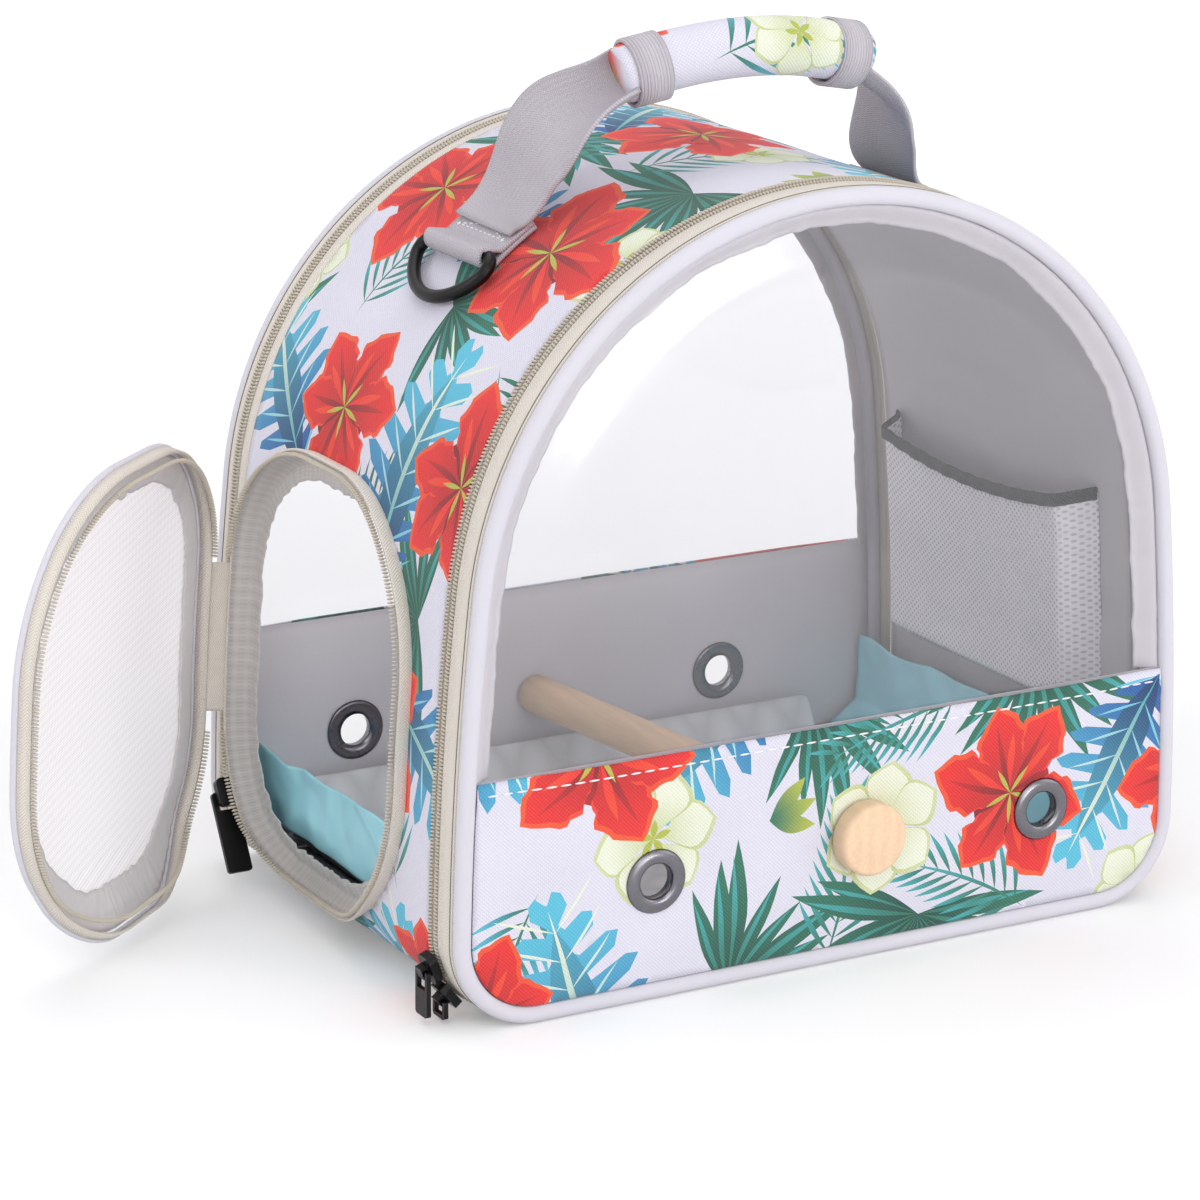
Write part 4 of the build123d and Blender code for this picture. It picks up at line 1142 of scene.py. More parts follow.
def make_base(arch):
    """The base cloth that wraps up to the canvas, and the stiff board inside."""
    front, rear = extent("base_cover", 1)
    start = arch.left_at_height(extent("base_cover", 2)[1])
    run = start + 2 * arch.corner_x + start

    def place(u, v):
        point, normal = arch.at(start - u, v, -0.4 * MM)
        sag = 0.25 * MM * ripple(u, v, 8.0, 0.03)
        return point + normal * (0.2 * MM + sag * 0.5)

    piece = sheet("base_cloth", spread(0, run, 150), spread(front, rear, 80), place, "base_cloth")
    settled(thicken(piece, 0.9 * MM, 1.0), "cabin", "base_cloth", "base_cover")
    (left, right), (low, high) = extent("base_board", 0), extent("base_board", 2)
    stations = [(Vector(((left + right) / 2, y, low)), X, Z) for y in extent("base_board", 1)]
    half = (right - left) / 2
    board = loft("base_board_piece", stations, slab(-half, half, 0, high - low, 0.8 * MM), "board", False)
    settled(board, "cabin", "board", "base_board")


def arch_band(name, arch, across, out, finish_name, start):
    """A flat band that follows the arch, its ends start up the sides; out is in mm from the outline."""
    stations = []
    for s in spread(start, arch.length - start, 260):
        point, normal = arch.at(s, 0)
        stations.append((point, Y, normal))
    low, high = [value * MM for value in out]
    return loft(name, stations, slab(*across, low, high, 0.25 * MM), finish_name, False)


def tooth_size(doors, width):
    return 0.72 * doors.tooth_pitch, width, 1.5 * MM


def zip_half(name, arch, doors, across, start, sunk, back, slant, count):
    """Half a zip that follows the arch: coil teeth on the tape they are sewn to; sunk and back in mm."""
    low, high = across
    path = [arch.at(s, (low + high) / 2, -sunk * MM) for s in spread(start, arch.length - start, count)]
    teeth = beads(f"{name}_teeth", path, doors.tooth_pitch, tooth_size(doors, high - low), "teeth", slant)
    return join(name, [teeth, arch_band(f"{name}_back", arch, across, back, "tape", start)])


def make_cabin_zips(arch, doors):
    """Coil teeth at both ends of the canvas, and the folded tape at the rear."""
    for end in ENDS:
        node = f"{end}_gusset_coil"
        start = arch.left_at_height(extent(node, 2)[0])
        piece = zip_half(f"{end}_cabin_zip", arch, doors, extent(node, 1), start,
                         sunk=0.2, back=(-1.1, -0.75), slant=0.18, count=300)
        settled(piece, "cabin", "zip_teeth", node)
    node = "rear_gusset_tape"
    start = arch.left_at_height(extent(node, 2)[0])
    tape = arch_band("rear_cabin_tape", arch, extent(node, 1), (-1.1, 0.0), "tape", start)
    settled(tape, "cabin", "zip_tape", node)


# ---- side opening -----------------------------------------------------------------------------
RIM_TEETH_OUT, DOOR_TEETH_OUT = 5.2 * MM, 7.9 * MM  # out of the wall, with the door shut
FRILL_COLUMNS, FRILL_GATHERS = 720, 57
BINDING_COLUMNS, BINDING_SPACING = 512, (1, 1.3)


def make_side_rim(arch, door, doors):
    """The herringbone collar of the side opening, its teeth and the gathered lining inside it."""
    rim = [(0.2, -5), (1.1, -5), (1.2, 3.6), (0.8, 4), (0.2, 4)]
    settled(side_ring("side_collar", arch, door, rim, "tape"), "cabin", "zip_tape", "side_rim_tape")
    teeth = side_teeth("side_rim_teeth", arch, door, doors, RIM_TEETH_OUT)
    settled(teeth, "cabin", "zip_teeth", "side_rim_coil")

    def place(column, part, y, z, out_y, out_z):
        """From under the teeth the cloth dives behind the collar, and its gathers open."""
        phase = column / FRILL_COLUMNS
        wavy = 0.25 * math.sin(phase * 2 * math.pi * FRILL_GATHERS + 2 * math.sin(phase * 40))
        wavy += rough(phase * 75, 0, 9)
        reach = part * (8.6 + rough(phase * 60, 0, 2)) * MM
        fold = 0.9 * wavy * part + 0.4 * rough(phase * 150, part * 2, 5)
        dive = smooth_step(part / 0.34)
        at_z = z - out_z * reach
        x, normal = wall_out(arch, at_z)
        return Vector((x, y - out_y * reach, at_z)) + normal * ((fold * dive + 3.4 - 7.8 * dive) * MM)

    loop = side_loop(door, 0.0)
    frill = gathered_ring("side_frill", loop, FRILL_COLUMNS, 9, (0.7, 1), place, "frill_net")
    face_outwards(frill)
    settled(thicken(frill, 0.35 * MM), "cabin", "frill", "side_rim_frill")
    run = loop_length(loop)


def side_teeth(name, arch, door, doors, out):
    """Teeth round the opening, with none along the straight hinge edge."""
    stations = []
    loop = side_loop(door, 0.2 * MM)
    for index in range(CORNER_POINTS + EDGE_POINTS + 1, len(loop) + CORNER_POINTS - 2):
        y, z, out_y, out_z = loop[index % len(loop)]
        stations.append((Vector((wall_out(arch, z, out)[0], y, z)), Vector((0, out_y, out_z))))
    return beads(name, stations, doors.tooth_pitch, tooth_size(doors, 2.4 * MM), "teeth")


def make_pocket(arch, cabin):
    """The net pocket on the right wall and its elastic top edge."""
    front, rear = extent("mesh_pocket", 1)
    low = extent("mesh_pocket", 2)[0]
    top = middle("pocket_elastic", 2)
    wall = cabin.canvas + cabin.foam + cabin.lining
    bulge, dip, elastic = 12 * MM, 7 * MM, 4.8 * MM

    def on_wall(y, z, inwards):
        """A point off the right wall. The top edge dips between its corners, and the net goes with it."""
        part = (y - front) / (rear - front)
        z -= dip * 4 * part * (1 - part) * smooth_step((z - low) / (top - low))
        return arch.at(arch.length - arch.left_at_height(z), y, -wall - inwards)

    def swell(y):
        return bulge * smooth_step(min(y - front, rear - y) / (9 * MM))

    def place(y, z):
        slack = 0.5 * MM * ripple(y, z, 2.0, 0.02)
        return on_wall(y, z, 0.3 * MM + (swell(y) + slack) * smooth_step((z - low) / (9 * MM)))[0]

    piece = sheet("pocket_net", spread(front, rear, 90), spread(low, top, 60), place, "pocket_net")
    settled(thicken(piece, 0.4 * MM), "cabin", "mesh", "mesh_pocket")
    stations = []
    for y in spread(front, rear, 150):
        pucker = 0.25 * MM * math.sin(y / (1.6 * MM))
        point, normal = on_wall(y, top, 1.3 * MM + swell(y) - pucker)
        stations.append((point, Vector((normal.z, 0, -normal.x)), normal))
    profile = slab(-elastic / 2, elastic / 2, -0.7 * MM, 0.7 * MM, 0.5 * MM)
    settled(loft("pocket_top", stations, profile, "elastic", False), "cabin", "elastic", "pocket_elastic")


# ---- end doors --------------------------------------------------------------------------------
HALF_TURN = Matrix.Rotation(math.pi, 4, "Z")


def at_end(piece, end):
    """Pieces of both end doors are made at the front; the rear ones are turned round."""
    return moved(piece, HALF_TURN) if end == "rear" else piece


def on_door(piece, end, slot, *nodes):
    return settled(at_end(piece, end), f"{end}_door", slot, *[f"{end}_{node}" for node in nodes])


def end_extent(end, node):
    """A node's run along Y, as if its door were at the front."""
    low, high = extent(f"{end}_{node}", 1)
    return (low, high) if end == "front" else (-high, -low)


def end_middle(end, node):
    return sum(end_extent(end, node)) / 2


def window_outline(arch, inset, low):
    """The upper part of an end panel, as points (x, z), above a straight lower edge."""
    loop = [arch.at(s, 0, -inset)[0] for s in spread(0, arch.length, 150)]
    loop = [Vector((point.x, point.z)) for point in loop if point.z > low]
    return [Vector((loop[0].x, low)), *loop, Vector((loop[-1].x, low))]


def band_outline(arch, inset, top):
    """The lower part of an end panel, up to a straight top edge."""
    left = [arch.at(s, 0, -inset)[0] for s in spread(0, arch.left_at_height(top), 40)]
    left = [point for point in left if point.z < top - 0.5 * MM]
    edge = left[-1].x
    loop = [Vector((point.x, point.z)) for point in left] + [Vector((edge, top)), Vector((-edge, top))]
    return loop + [Vector((-point.x, point.z)) for point in reversed(left)]


def eyelet_places():
    """Centres of the two eyelets of the front door, as (x, z)."""
    left, right = extent("front_grommets", 0)
    low, high = extent("front_grommets", 2)
    radius = (high - low) / 2
    return [(left + radius, low + radius), (right - radius, low + radius)]


def knob_place():
    return middle("front_knob", 0), middle("front_knob", 2)


def band_shape(doors, inset):
    """How far the printed band stands out from flat at (x, z): it swells between its fittings."""
    fittings = [*eyelet_places(), knob_place()]

    def lift(x, z):
        edge = smooth_step((z - inset) / (22 * MM)) * smooth_step((125 * MM - abs(x)) / (30 * MM))
        swell = edge * (0.75 + 0.25 * math.sin(z / doors.band * math.pi))
        for at_x, at_z in fittings:
            apart = math.hypot(x - at_x, z - at_z) - doors.knob
            swell *= smooth_step((apart + 2 * MM) / (20 * MM))
        soft = 0.35 * MM * ripple(x, z, 4.0, 0.028) * edge
        return doors.bulge * swell + soft

    return lift


def make_end_door(arch, doors, end):
    """The piping, tape and zip of one end door, then its panel."""
    piping_y = end_middle(end, "piping")
    stations = []
    for s in spread(0, arch.around, 401)[:-1]:
        point, normal = arch.at(s, piping_y, -doors.piping)
        uneven = 0.12 * MM * math.sin(s / (2.3 * MM)) * rough(s * 20, 0, 1)
        stations.append((point + normal * uneven, Y, normal))
    piping = loft(f"{end}_door_piping", stations, disc(doors.piping - 0.1 * MM, 18), "piping")
    on_door(piping, end, "piping", "piping")

    start = arch.left_at_height(extent(f"{end}_rim_tape", 2)[0])
    low, high = end_extent(end, "rim_tape")
    seam_run = (low + 0.2 * MM, low + 0.7 * MM)
    tape = arch_band(f"{end}_tape", arch, (low - 0.6 * MM, high), (-1.5, -0.3), "tape", start)
    seam = arch_band(f"{end}_seam", arch, seam_run, (-0.4, -0.1), "dark_seam", start)
    on_door(join(f"{end}_door_tape", [tape, seam]), end, "zip_tape", "rim_tape")

    run = end_extent(end, "door_coil")
    piece = zip_half(f"{end}_door_zip", arch, doors, run, start, sunk=0.5, back=(-1.4, -1.0), slant=-0.18,
                     count=360)
    on_door(piece, end, "zip_teeth", "door_coil")
    make_end_panel(arch, doors, end)
    make_end_frill(arch, end)


def make_end_panel(arch, doors, end):
    """The clear window, the printed band under it with its eyelets, and the band's lining."""
    inset = extent("front_band_fabric", 2)[0]
    film_y = end_middle(end, "window")
    low = extent(f"{end}_window", 2)[0]

    def film_place(x, z):
        side = abs(x) if z < arch.top_z else math.hypot(x, z - arch.top_z)
        dome = smooth_step((arch.top - inset - side) / (22 * MM)) * smooth_step((z - low) / (24 * MM))
        buckle = 0.5 * MM * ripple(x, z * 0.6, 6.0, 0.07) * dome
        return Vector((x, film_y - doors.dome * dome - buckle, z))

    pane = window_outline(arch, inset, low)
    film = cut_cloth(f"{end}_window_film", pane, [], film_place, "window_film", spacing=3.5)
    on_door(film, end, "clear_film", "window")

    radius = doors.eyelet_hole + 1.5 * MM
    holes = [[Vector((x + a, z + b)) for a, b in disc(radius, 28)] for x, z in eyelet_places()]
    outline = band_outline(arch, inset, doors.band)
    lift = band_shape(doors, inset)
    cloth_y = end_extent(end, "band_fabric")[0]
    lining_y = end_middle(end, "band_lining")

    def band_place(x, z):
        hem = 0.45 * MM * smooth_step((z - doors.band + 9.5 * MM) / (1.2 * MM))
        roll = 0.5 * MM * smooth_step((z - doors.band + 1.6 * MM) / (1.6 * MM))
        return Vector((x, cloth_y + 0.2 * MM - lift(x, z) - hem + roll, z))

    def lining_place(x, z):
        return Vector((x, lining_y + 0.25 * MM * abs(ripple(x, z, 7.0, 0.015)), z))

    band = cut_cloth(f"{end}_band", outline, holes, band_place, "printed_canvas", spacing=3,
                     seed=PRINT_SEEDS[end])
    face_outwards(thicken(band, 0.7 * MM, -1.0))
    on_door(band, end, "printed_fabric", "band_fabric")
    left, right = extent(f"{end}_band_fabric", 0)
    row = doors.band - 4.2 * MM
    run = spread(left + 7 * MM, right - 7 * MM, 90)
    path = [(band_place(x, row) - Y * 0.1 * MM, -Y) for x in run]
    size = (doors.stitch, 0.7 * MM, 0.5 * MM)
    on_door(beads(f"{end}_band_stitches", path, doors.stitch * 1.2, size, "thread"), end, "printed_fabric")
    # The band's inside takes the lining colour brightened as painted light.
    lining = cut_cloth(f"{end}_band_inside", outline, holes, lining_place, "painted_light_lining", spacing=5)
    on_door(thicken(lining, 0.4 * MM), end, "lining", "band_lining")
    for piece in (band, lining):
        flat_area(outline, holes)
    for number, (x, z) in enumerate(eyelet_places()):
        make_eyelet(f"{end}_eyelet_{number}", doors, end, x, z)


def make_eyelet(name, doors, end, x, z):
    """A rolled metal eyelet and the washer behind it."""
    front, back = end_extent(end, "grommets")
    hole, rim, deep = doors.eyelet_hole, doors.eyelet, back - front
    profile = [
        (hole, deep), (hole, 1.0 * MM), (hole + 0.5 * MM, 0.3 * MM), (hole + 1.4 * MM, 0.0),
        (rim - 1.8 * MM, 0.1 * MM), (rim - 0.6 * MM, 0.5 * MM), (rim, 1.2 * MM), (rim - 0.3 * MM, 1.5 * MM),
        (hole + 0.9 * MM, 1.5 * MM), (hole + 0.9 * MM, deep - 1.0 * MM), (rim - 0.8 * MM, deep - 0.9 * MM),
        (rim, deep - 0.5 * MM), (rim - 0.8 * MM, deep),
    ]
    on_door(turned(name, Vector((x, front, z)), Y, profile, "eyelet_metal"), end, "gunmetal", "grommets")


def make_end_frill(arch, end):
    """The wavy edge of gathered lining round the window."""
    top_y = end_middle(end, "frill")
    start = arch.left_at_height(extent(f"{end}_frill", 2)[0])
    inset = extent("front_band_fabric", 2)[0]
    width, lean = 7 * MM, 4.5 * MM

    def place(s, inward):
        part = inward / width
        wavy = 0.2 * math.sin(s / (1.15 * MM) + 2.5 * math.sin(s * 90)) + 1.2 * rough(s * 130, part * 0.6, 3)
        reach = inward * (1 + 0.16 * rough(s * 45, 0, 8) + 0.06 * rough(s * 210, 0, 2))
        point = arch.at(s, 0, -inset - reach)[0]
        wave_y = 0.8 * MM * wavy * (0.25 + 0.75 * part)
        return Vector((point.x, top_y + lean * smooth_step(part) + wave_y, point.z))

    columns = spread(start, arch.length - start, 760)
    # The frill takes the lining colour brightened as painted light.
    frill = sheet(f"{end}_window_frill", columns, spread(0, width, 8), place, "painted_light_lining")
    on_door(thicken(frill, 0.3 * MM), end, "frill", "frill")


def make_perch(doors):
    """The dowel and the two turned knobs that hold it."""
    high_x = extent("perch_dowel", 0)[1]
    low_y, high_y = extent("perch_dowel", 1)
    low_z, high_z = extent("perch_dowel", 2)
    radius, height = (high_z - low_z) / 2, (high_z + low_z) / 2
    shift = high_x - radius
    run = Vector((-2 * shift, high_y - low_y, 0)).normalized()
    across = Vector((run.y, -run.x, 0))
    stations = []
    for part in (0, 0.004, *spread(0.05, 0.95, 20), 0.996, 1):
        origin = Vector((shift - 2 * shift * part, low_y + (high_y - low_y) * part, height))
        swell = (0.86 if part in (0, 1) else 1) * (1 + 0.01 * rough(part * 9, 0, 4))
        stations.append((origin, across * swell, Z * swell))
    settled(loft("perch", stations, disc(radius, 40), "wood", False), "cabin", "birch", "perch_dowel")
    x, z = knob_place()
    fillet = 2.2 * MM
    for end in ENDS:
        front, seat = end_extent(end, "knob")
        deep, size = seat - front, doors.knob
        profile = [(0.0, 0.0), (size * 0.55, 0.25 * MM), (size * 0.82, 0.9 * MM)]
        for degrees in spread(20, 90, 6):
            turn = math.radians(degrees)
            profile.append((size - fillet * (1 - math.sin(turn)), 0.7 * MM + fillet * (1 - math.cos(turn))))
        profile += [(size, deep - 1.2 * MM), (size - 0.8 * MM, deep - 0.2 * MM), (size - 1.6 * MM, deep)]
        profile.append((0.0, deep))
        knob = turned(f"{end}_perch_knob_piece", Vector((x, front, z)), Y, profile, "wood", 64)
        settled(at_end(knob, end), f"{end}_perch_knob", "birch", f"{end}_knob")


# ---- side door --------------------------------------------------------------------------------
def on_side_door(piece, door, slot, node):
    """Turns a side door piece from shut to where it is stored, open, and settles it."""
    turn = turn_about(joint_place("side_door_hinge"), -door.open_angle, "Z")
    return settled(moved(piece, turn), "side_door", slot, node)


def make_side_door(arch, door, doors):
    """The tape, teeth, piping, net and binding of the side door, turned open."""
    band = [(0.1, 9.2), (1.2, 9.2), (1.2, 13.6), (0.1, 13.6)]
    on_side_door(side_ring("side_door_band", arch, door, band, "tape"), door, "zip_tape", "side_door_tape")
    teeth = side_teeth("side_door_teeth", arch, door, doors, DOOR_TEETH_OUT)
    on_side_door(teeth, door, "zip_teeth", "side_door_coil")
    cord = [(a, b + 15.1) for a, b in disc(1.5, 14)]
    on_side_door(side_ring("side_door_piping", arch, door, cord, "piping"), door, "piping", "side_piping")

    outline = [Vector((y, z)) for y, z, _, _ in side_loop(door, -1.0 * MM)]
    centre = Vector((door.hinge_y - door.width / 2, door.bottom + door.height / 2))

    def net_place(y, z):
        apart = (Vector((y, z)) - centre).length / door.height
        sag = 1.2 * MM * (1 - smooth_step(apart * 1.8)) + 0.3 * MM * ripple(y, z, 12.0, 0.03)
        return arch.at(arch.left_at_height(z), y, 15.0 * MM + sag)[0]

    def binding_place(column, part, y, z, out_y, out_z):
        reach = part * 9 * MM * (1 + 0.12 * rough(column * 0.12, 0, 1))
        crease = 0.8 * abs(rough(column * 0.21, part * 1.5, 6)) + 0.5 * math.sin(part * math.pi)
        s = arch.left_at_height(z - out_z * reach)
        return arch.at(s, y - out_y * reach, (14.2 - crease) * MM)[0]

    netting = cut_cloth("side_door_net", outline, [], net_place, "door_net", spacing=5)
    on_side_door(thicken(netting, 0.35 * MM), door, "mesh", "side_mesh")
    flat_area(outline)

    loop = side_loop(door, -1.2 * MM)
    binding = gathered_ring("side_door_binding", loop, BINDING_COLUMNS, 8, BINDING_SPACING, binding_place,
                            "binding")
    on_side_door(thicken(binding, 0.6 * MM), door, "binding", "side_binding")
    run = loop_length(loop)


def make_side_hinge(arch, door):
    """The strip of tape that the side door turns on, bent from the collar to the open door."""
    axis = joint_place("side_door_hinge")
    low = door.bottom + door.hinge_corner
    high = door.bottom + door.height - door.hinge_corner
    width = 14 * MM
    x, _ = wall_out(arch, (low + high) / 2)
    start = Vector((x - 2.5 * MM, door.hinge_y + 0.6 * MM, 0))
    closed = Vector((x - 12 * MM, door.hinge_y + 1.4 * MM, 0))
    pin = Vector((axis.x, axis.y, 0))
    end = pin + Matrix.Rotation(-door.open_angle, 3, "Z") @ (closed - pin)
    control = pin + Vector((1.0, 1.6, 0)) * MM

    def place(u, z):
        part = u / width
        spot = start * (1 - part) ** 2 + control * (2 * part * (1 - part)) + end * part**2
        lean_x, _ = wall_out(arch, z)
        return Vector((spot.x + (lean_x - x), spot.y + 0.15 * MM * ripple(u, z, 2.0, 0.006), z))

    strip = sheet("side_hinge_strip", spread(0, width, 15), spread(low, high, 40), place, "tape")
    thicken(strip, 0.7 * MM)
    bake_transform(strip)


# ---- simulated padding ------------------------------------------------------------------------
CLOTH_FRAMES = 20
CLOTH_PRESSURE = 4.0


def puff(points, faces, pins, cap):
    """Points of a closed skin after it is blown up as cloth, held at its pins and moved by cap at most."""
    mesh = bpy.data.meshes.new("skin")
    mesh.from_pydata(points, [], faces)
    skin = new_piece("skin", mesh)
    face_outwards(skin)
    held = skin.vertex_groups.new(name="held")
    held.add([index for index, pinned in enumerate(pins) if pinned], 1.0, "REPLACE")
    modifier = skin.modifiers.new("Cloth", "CLOTH")
    settings = modifier.settings
    settings.quality, settings.mass, settings.vertex_group_mass = 6, 0.1, "held"
    settings.use_pressure, settings.uniform_pressure_force = True, CLOTH_PRESSURE
    settings.effector_weights.gravity = 0.0
    modifier.point_cache.frame_start = 1
    modifier.point_cache.frame_end = CLOTH_FRAMES
    for number in range(1, CLOTH_FRAMES + 1):
        bpy.context.scene.frame_set(number)
    blown = skin.evaluated_get(bpy.context.evaluated_depsgraph_get()).data
    result = []
    for before, vertex in zip(points, blown.vertices):
        step = vertex.co - before
        if step.length > cap:
            step *= cap / step.length
        result.append(before + step)
    bpy.data.objects.remove(skin)
    bpy.context.scene.frame_set(1)
    return result


# ---- handle -----------------------------------------------------------------------------------
ANCHOR_REACH = 0.761  # how far out the webbing is folded back, as a part of the anchors' node
STRAP_ROOT = math.radians(32)
RING_WIRE = 2.25 * MM
WRAP_TILT = 0.12  # in radians


def mirrored(piece, name):
    """A copy on the other side of the cabin."""
    twin = piece.copy()
    twin.data = piece.data.copy()
    twin.name = name
    bpy.context.scene.collection.objects.link(twin)
    twin.data.transform(Matrix.Scale(-1, 4, X))
    twin.data.flip_normals()
    twin.data.update()
    return twin


def make_anchors(arch, handle):
    """Webbing folded round each D-ring's bar and sewn down on the arch."""
    _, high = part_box("d_ring_left")
    bar_x, bar_z = high[0] - RING_WIRE, high[2] - RING_WIRE
    angle = math.atan2(bar_x, bar_z - arch.top_z)
    turn = RING_WIRE + 0.4 * MM + handle.thickness / 2
    base = arch.top + 0.3 * MM + handle.thickness / 2
    fold = math.asin(extent("strap_anchors", 0)[0] * ANCHOR_REACH / arch.top)

    def on_arch(lean, radius):
        return Vector((radius * math.sin(lean), 0, arch.top_z + radius * math.cos(lean)))

    bar = on_arch(angle, math.hypot(bar_x, bar_z - arch.top_z))
    outward = on_arch(angle, 1.0) - on_arch(angle, 0.0)
    downhill = Vector((-outward.z, 0, outward.x))
    path = [on_arch(lean, base) for lean in spread(fold, angle + 0.03, 10)]
    for degrees in spread(-90, 90, 15):
        bent = math.radians(degrees)
        path.append(bar + downhill * (turn * math.cos(bent)) + outward * (turn * math.sin(bent)))
    upper = base + handle.thickness + 0.1 * MM
    path += [on_arch(lean, upper) for lean in spread(angle + 0.035, fold, 10)]
    runs = distances(path)
    half = handle.webbing / 2

    def place(u, v):
        return path[runs.index(u)] + Y * v + outward * (0.12 * MM * ripple(u, v, 1.0, 0.006))

    webbing = thicken(sheet("anchor_left", runs, spread(-half, half, 20), place, "webbing"),
                      handle.thickness - 0.2 * MM)
    face_outwards(webbing)
    sewn = base + handle.thickness * 1.5 + 0.1 * MM
    low, high = on_arch(angle + 0.06, sewn), on_arch(fold - 0.02, sewn)
    side = Y * (half - 4 * MM)
    corners = [low - side, low + side, high + side, high - side]
    lines = [*zip(corners, corners[1:] + corners[:1]), corners[::2], corners[1::2]]
    stitches = []
    for a, b in lines:
        run = [(a + (b - a) * part, outward) for part in spread(0, 1, 12)]
        stitches.append(beads("anchor_stitch", run, 3.0 * MM, (2.3 * MM, 0.6 * MM, 0.5 * MM), "thread"))
    left = join("anchor_left", [webbing, *stitches])
    for piece in (left, mirrored(left, "anchor_right")):
        settled(piece, "cabin", "webbing", "strap_anchors")


def bezier(a, b, c, d, part):
    rest = 1 - part
    return a * rest**3 + b * (3 * rest * rest * part) + c * (3 * rest * part * part) + d * part**3


def handle_axes(handle):
    """The handle's own up and its own level across, as it leans."""
    sine, cosine = math.sin(handle.lean), math.cos(handle.lean)
    return Vector((0, -sine, cosine)), Vector((0, cosine, sine))


def grip_line(handle):
    """The grip's centre line, (point, along) for a part from 0 to 1, and its length."""
    up, _ = handle_axes(handle)
    half, rise, sag = 48 * MM, 61 * MM, 9 * MM
    radius = (half**2 + sag**2) / (2 * sag)
    reach = math.asin(half / radius)
    centre = Z * joint_place("handle_swing").z + up * (rise - radius)

    def at(part):
        angle = (2 * part - 1) * reach
        point = centre + X * (radius * math.sin(angle)) + up * (radius * math.cos(angle))
        return point, X * math.cos(angle) - up * math.sin(angle)

    return at, radius * reach * 2


def make_straps(arch, handle):
    """The webbing from each anchor up to the grip, and the band of it wrapped round the grip's end."""
    grip, _ = grip_line(handle)
    up, level = handle_axes(handle)
    out = arch.top + 4.4 * MM
    uphill = Vector((math.cos(STRAP_ROOT), 0, math.sin(STRAP_ROOT)))
    root = Vector((-out * math.sin(STRAP_ROOT), 0, arch.top_z + out * math.cos(STRAP_ROOT)))
    start = root - uphill * 9 * MM
    end, along = grip(0.06)
    bend = root + uphill * 5 * MM + up * 16 * MM
    lower = root + uphill * 2 * MM + up * 5 * MM
    path = [bezier(start, root, lower, bend, part) for part in spread(0, 1, 14)]
    leave, arrive = bend + (bend - path[-2]).normalized() * 14 * MM, end - along * 16 * MM - up * 5 * MM
    path += [bezier(bend, leave, arrive, end, part) for part in spread(0, 1, 34)[1:]]
    runs = distances(path)
    half = handle.webbing / 2

    def place(u, v):
        """The webbing turns to the handle's level and is gathered into a hollow towards the grip."""
        index = runs.index(u)
        part = u / runs[-1]
        tangent = (path[min(index + 1, len(path) - 1)] - path[max(index - 1, 0)]).normalized()
        turn = smooth_step((part - 0.15) / 0.4)
        across = Y * (1 - turn) + level * turn
        across = (across - tangent * across.dot(tangent)).normalized()
        normal = across.cross(tangent).normalized()
        gather = smooth_step((part - 0.5) / 0.42)
        curl = 0.06 + 1.15 * gather
        radius = half * (1 - 0.28 * gather) / curl
        lean = v / half * curl
        crease = 0.35 * MM * rough(u * 40, v * 90, 4) * (0.3 + gather)
        lift = radius * (math.cos(lean) - 1) + crease + 5 * MM * gather
        return path[index] + across * (radius * math.sin(lean)) + normal * lift

    strap = thicken(sheet("strap_left", runs, spread(-half, half, 28), place, "webbing"),
                    handle.thickness - 0.3 * MM)
    face_outwards(strap)
    for piece, side, sign in ((strap, "left", 1), (mirrored(strap, "strap_right"), "right", -1)):
        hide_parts(f"handle_strap_{side}")
        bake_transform(piece)
    inner, outer = handle.grip + 0.2 * MM, handle.grip + 1.5 * MM
    profile = [(inner, 0.0), (outer, 0.3 * MM), (outer, 11.7 * MM), (inner, 12 * MM)]
    centre, axis = grip(0.055)
    wrap = turned("grip_wrap_left", centre, axis, profile, "webbing")
    moved(wrap, turn_about(centre, WRAP_TILT, level))
    for piece in (wrap, mirrored(wrap, "grip_wrap_right")):
        settled(piece, "handle", "webbing")


def make_grip(handle):
    """The padded printed grip, with its seam underneath."""
    grip, run = grip_line(handle)
    _, level = handle_axes(handle)
    sides, stations, covered = 28, 45, 0.94
    points, pins = [], []
    for i in range(stations):
        point, along = grip(0.03 + covered * i / (stations - 1))
        over = along.cross(level).normalized() * -1
        end = min(i, stations - 1 - i)
        size = handle.grip * {0: 0.9, 1: 0.96}.get(end, 0.985)
        points += [point + (over * a + level * b) * size for a, b in disc(1.0, sides)]
        pins += [end < 2 or j == sides // 2 and i % 2 == 0 for j in range(sides)]
    faces = []
    for i in range(stations - 1):
        for j in range(sides):
            k = (j + 1) % sides
            faces.append((i * sides + j, i * sides + k, (i + 1) * sides + k, (i + 1) * sides + j))
    faces += [list(range(sides)), [(stations - 1) * sides + j for j in range(sides)]]
    skin = puff(points, faces, pins, 0.9 * MM)
    around, sleeve_run = 2 * math.pi * handle.grip, run * covered

    def place(u, v):
        i = min(max(u / sleeve_run, 0), 1) * (stations - 1)
        j = v / around * sides
        low_i, low_j = min(int(i), stations - 2), int(j) % sides
        a, b = i - low_i, j - int(j)
        near = [skin[(low_i + di) * sides + (low_j + dj) % sides] for di in (0, 1) for dj in (0, 1)]
        return (near[0] * (1 - b) + near[1] * b) * (1 - a) + (near[2] * (1 - b) + near[3] * b) * a

    outline = [Vector((x, y)) for x, y in ((0, 0), (sleeve_run, 0), (sleeve_run, around), (0, around))]
    sleeve = cut_cloth("grip", outline, [], place, "printed_canvas", spacing=2.5, seed=PRINT_SEEDS["grip"])
    merge_close(sleeve, 1e-5)
    cap_ends(sleeve)
    face_outwards(sleeve)
    settled(sleeve, "handle", "grip_print", "grip_sleeve", "grip_core")


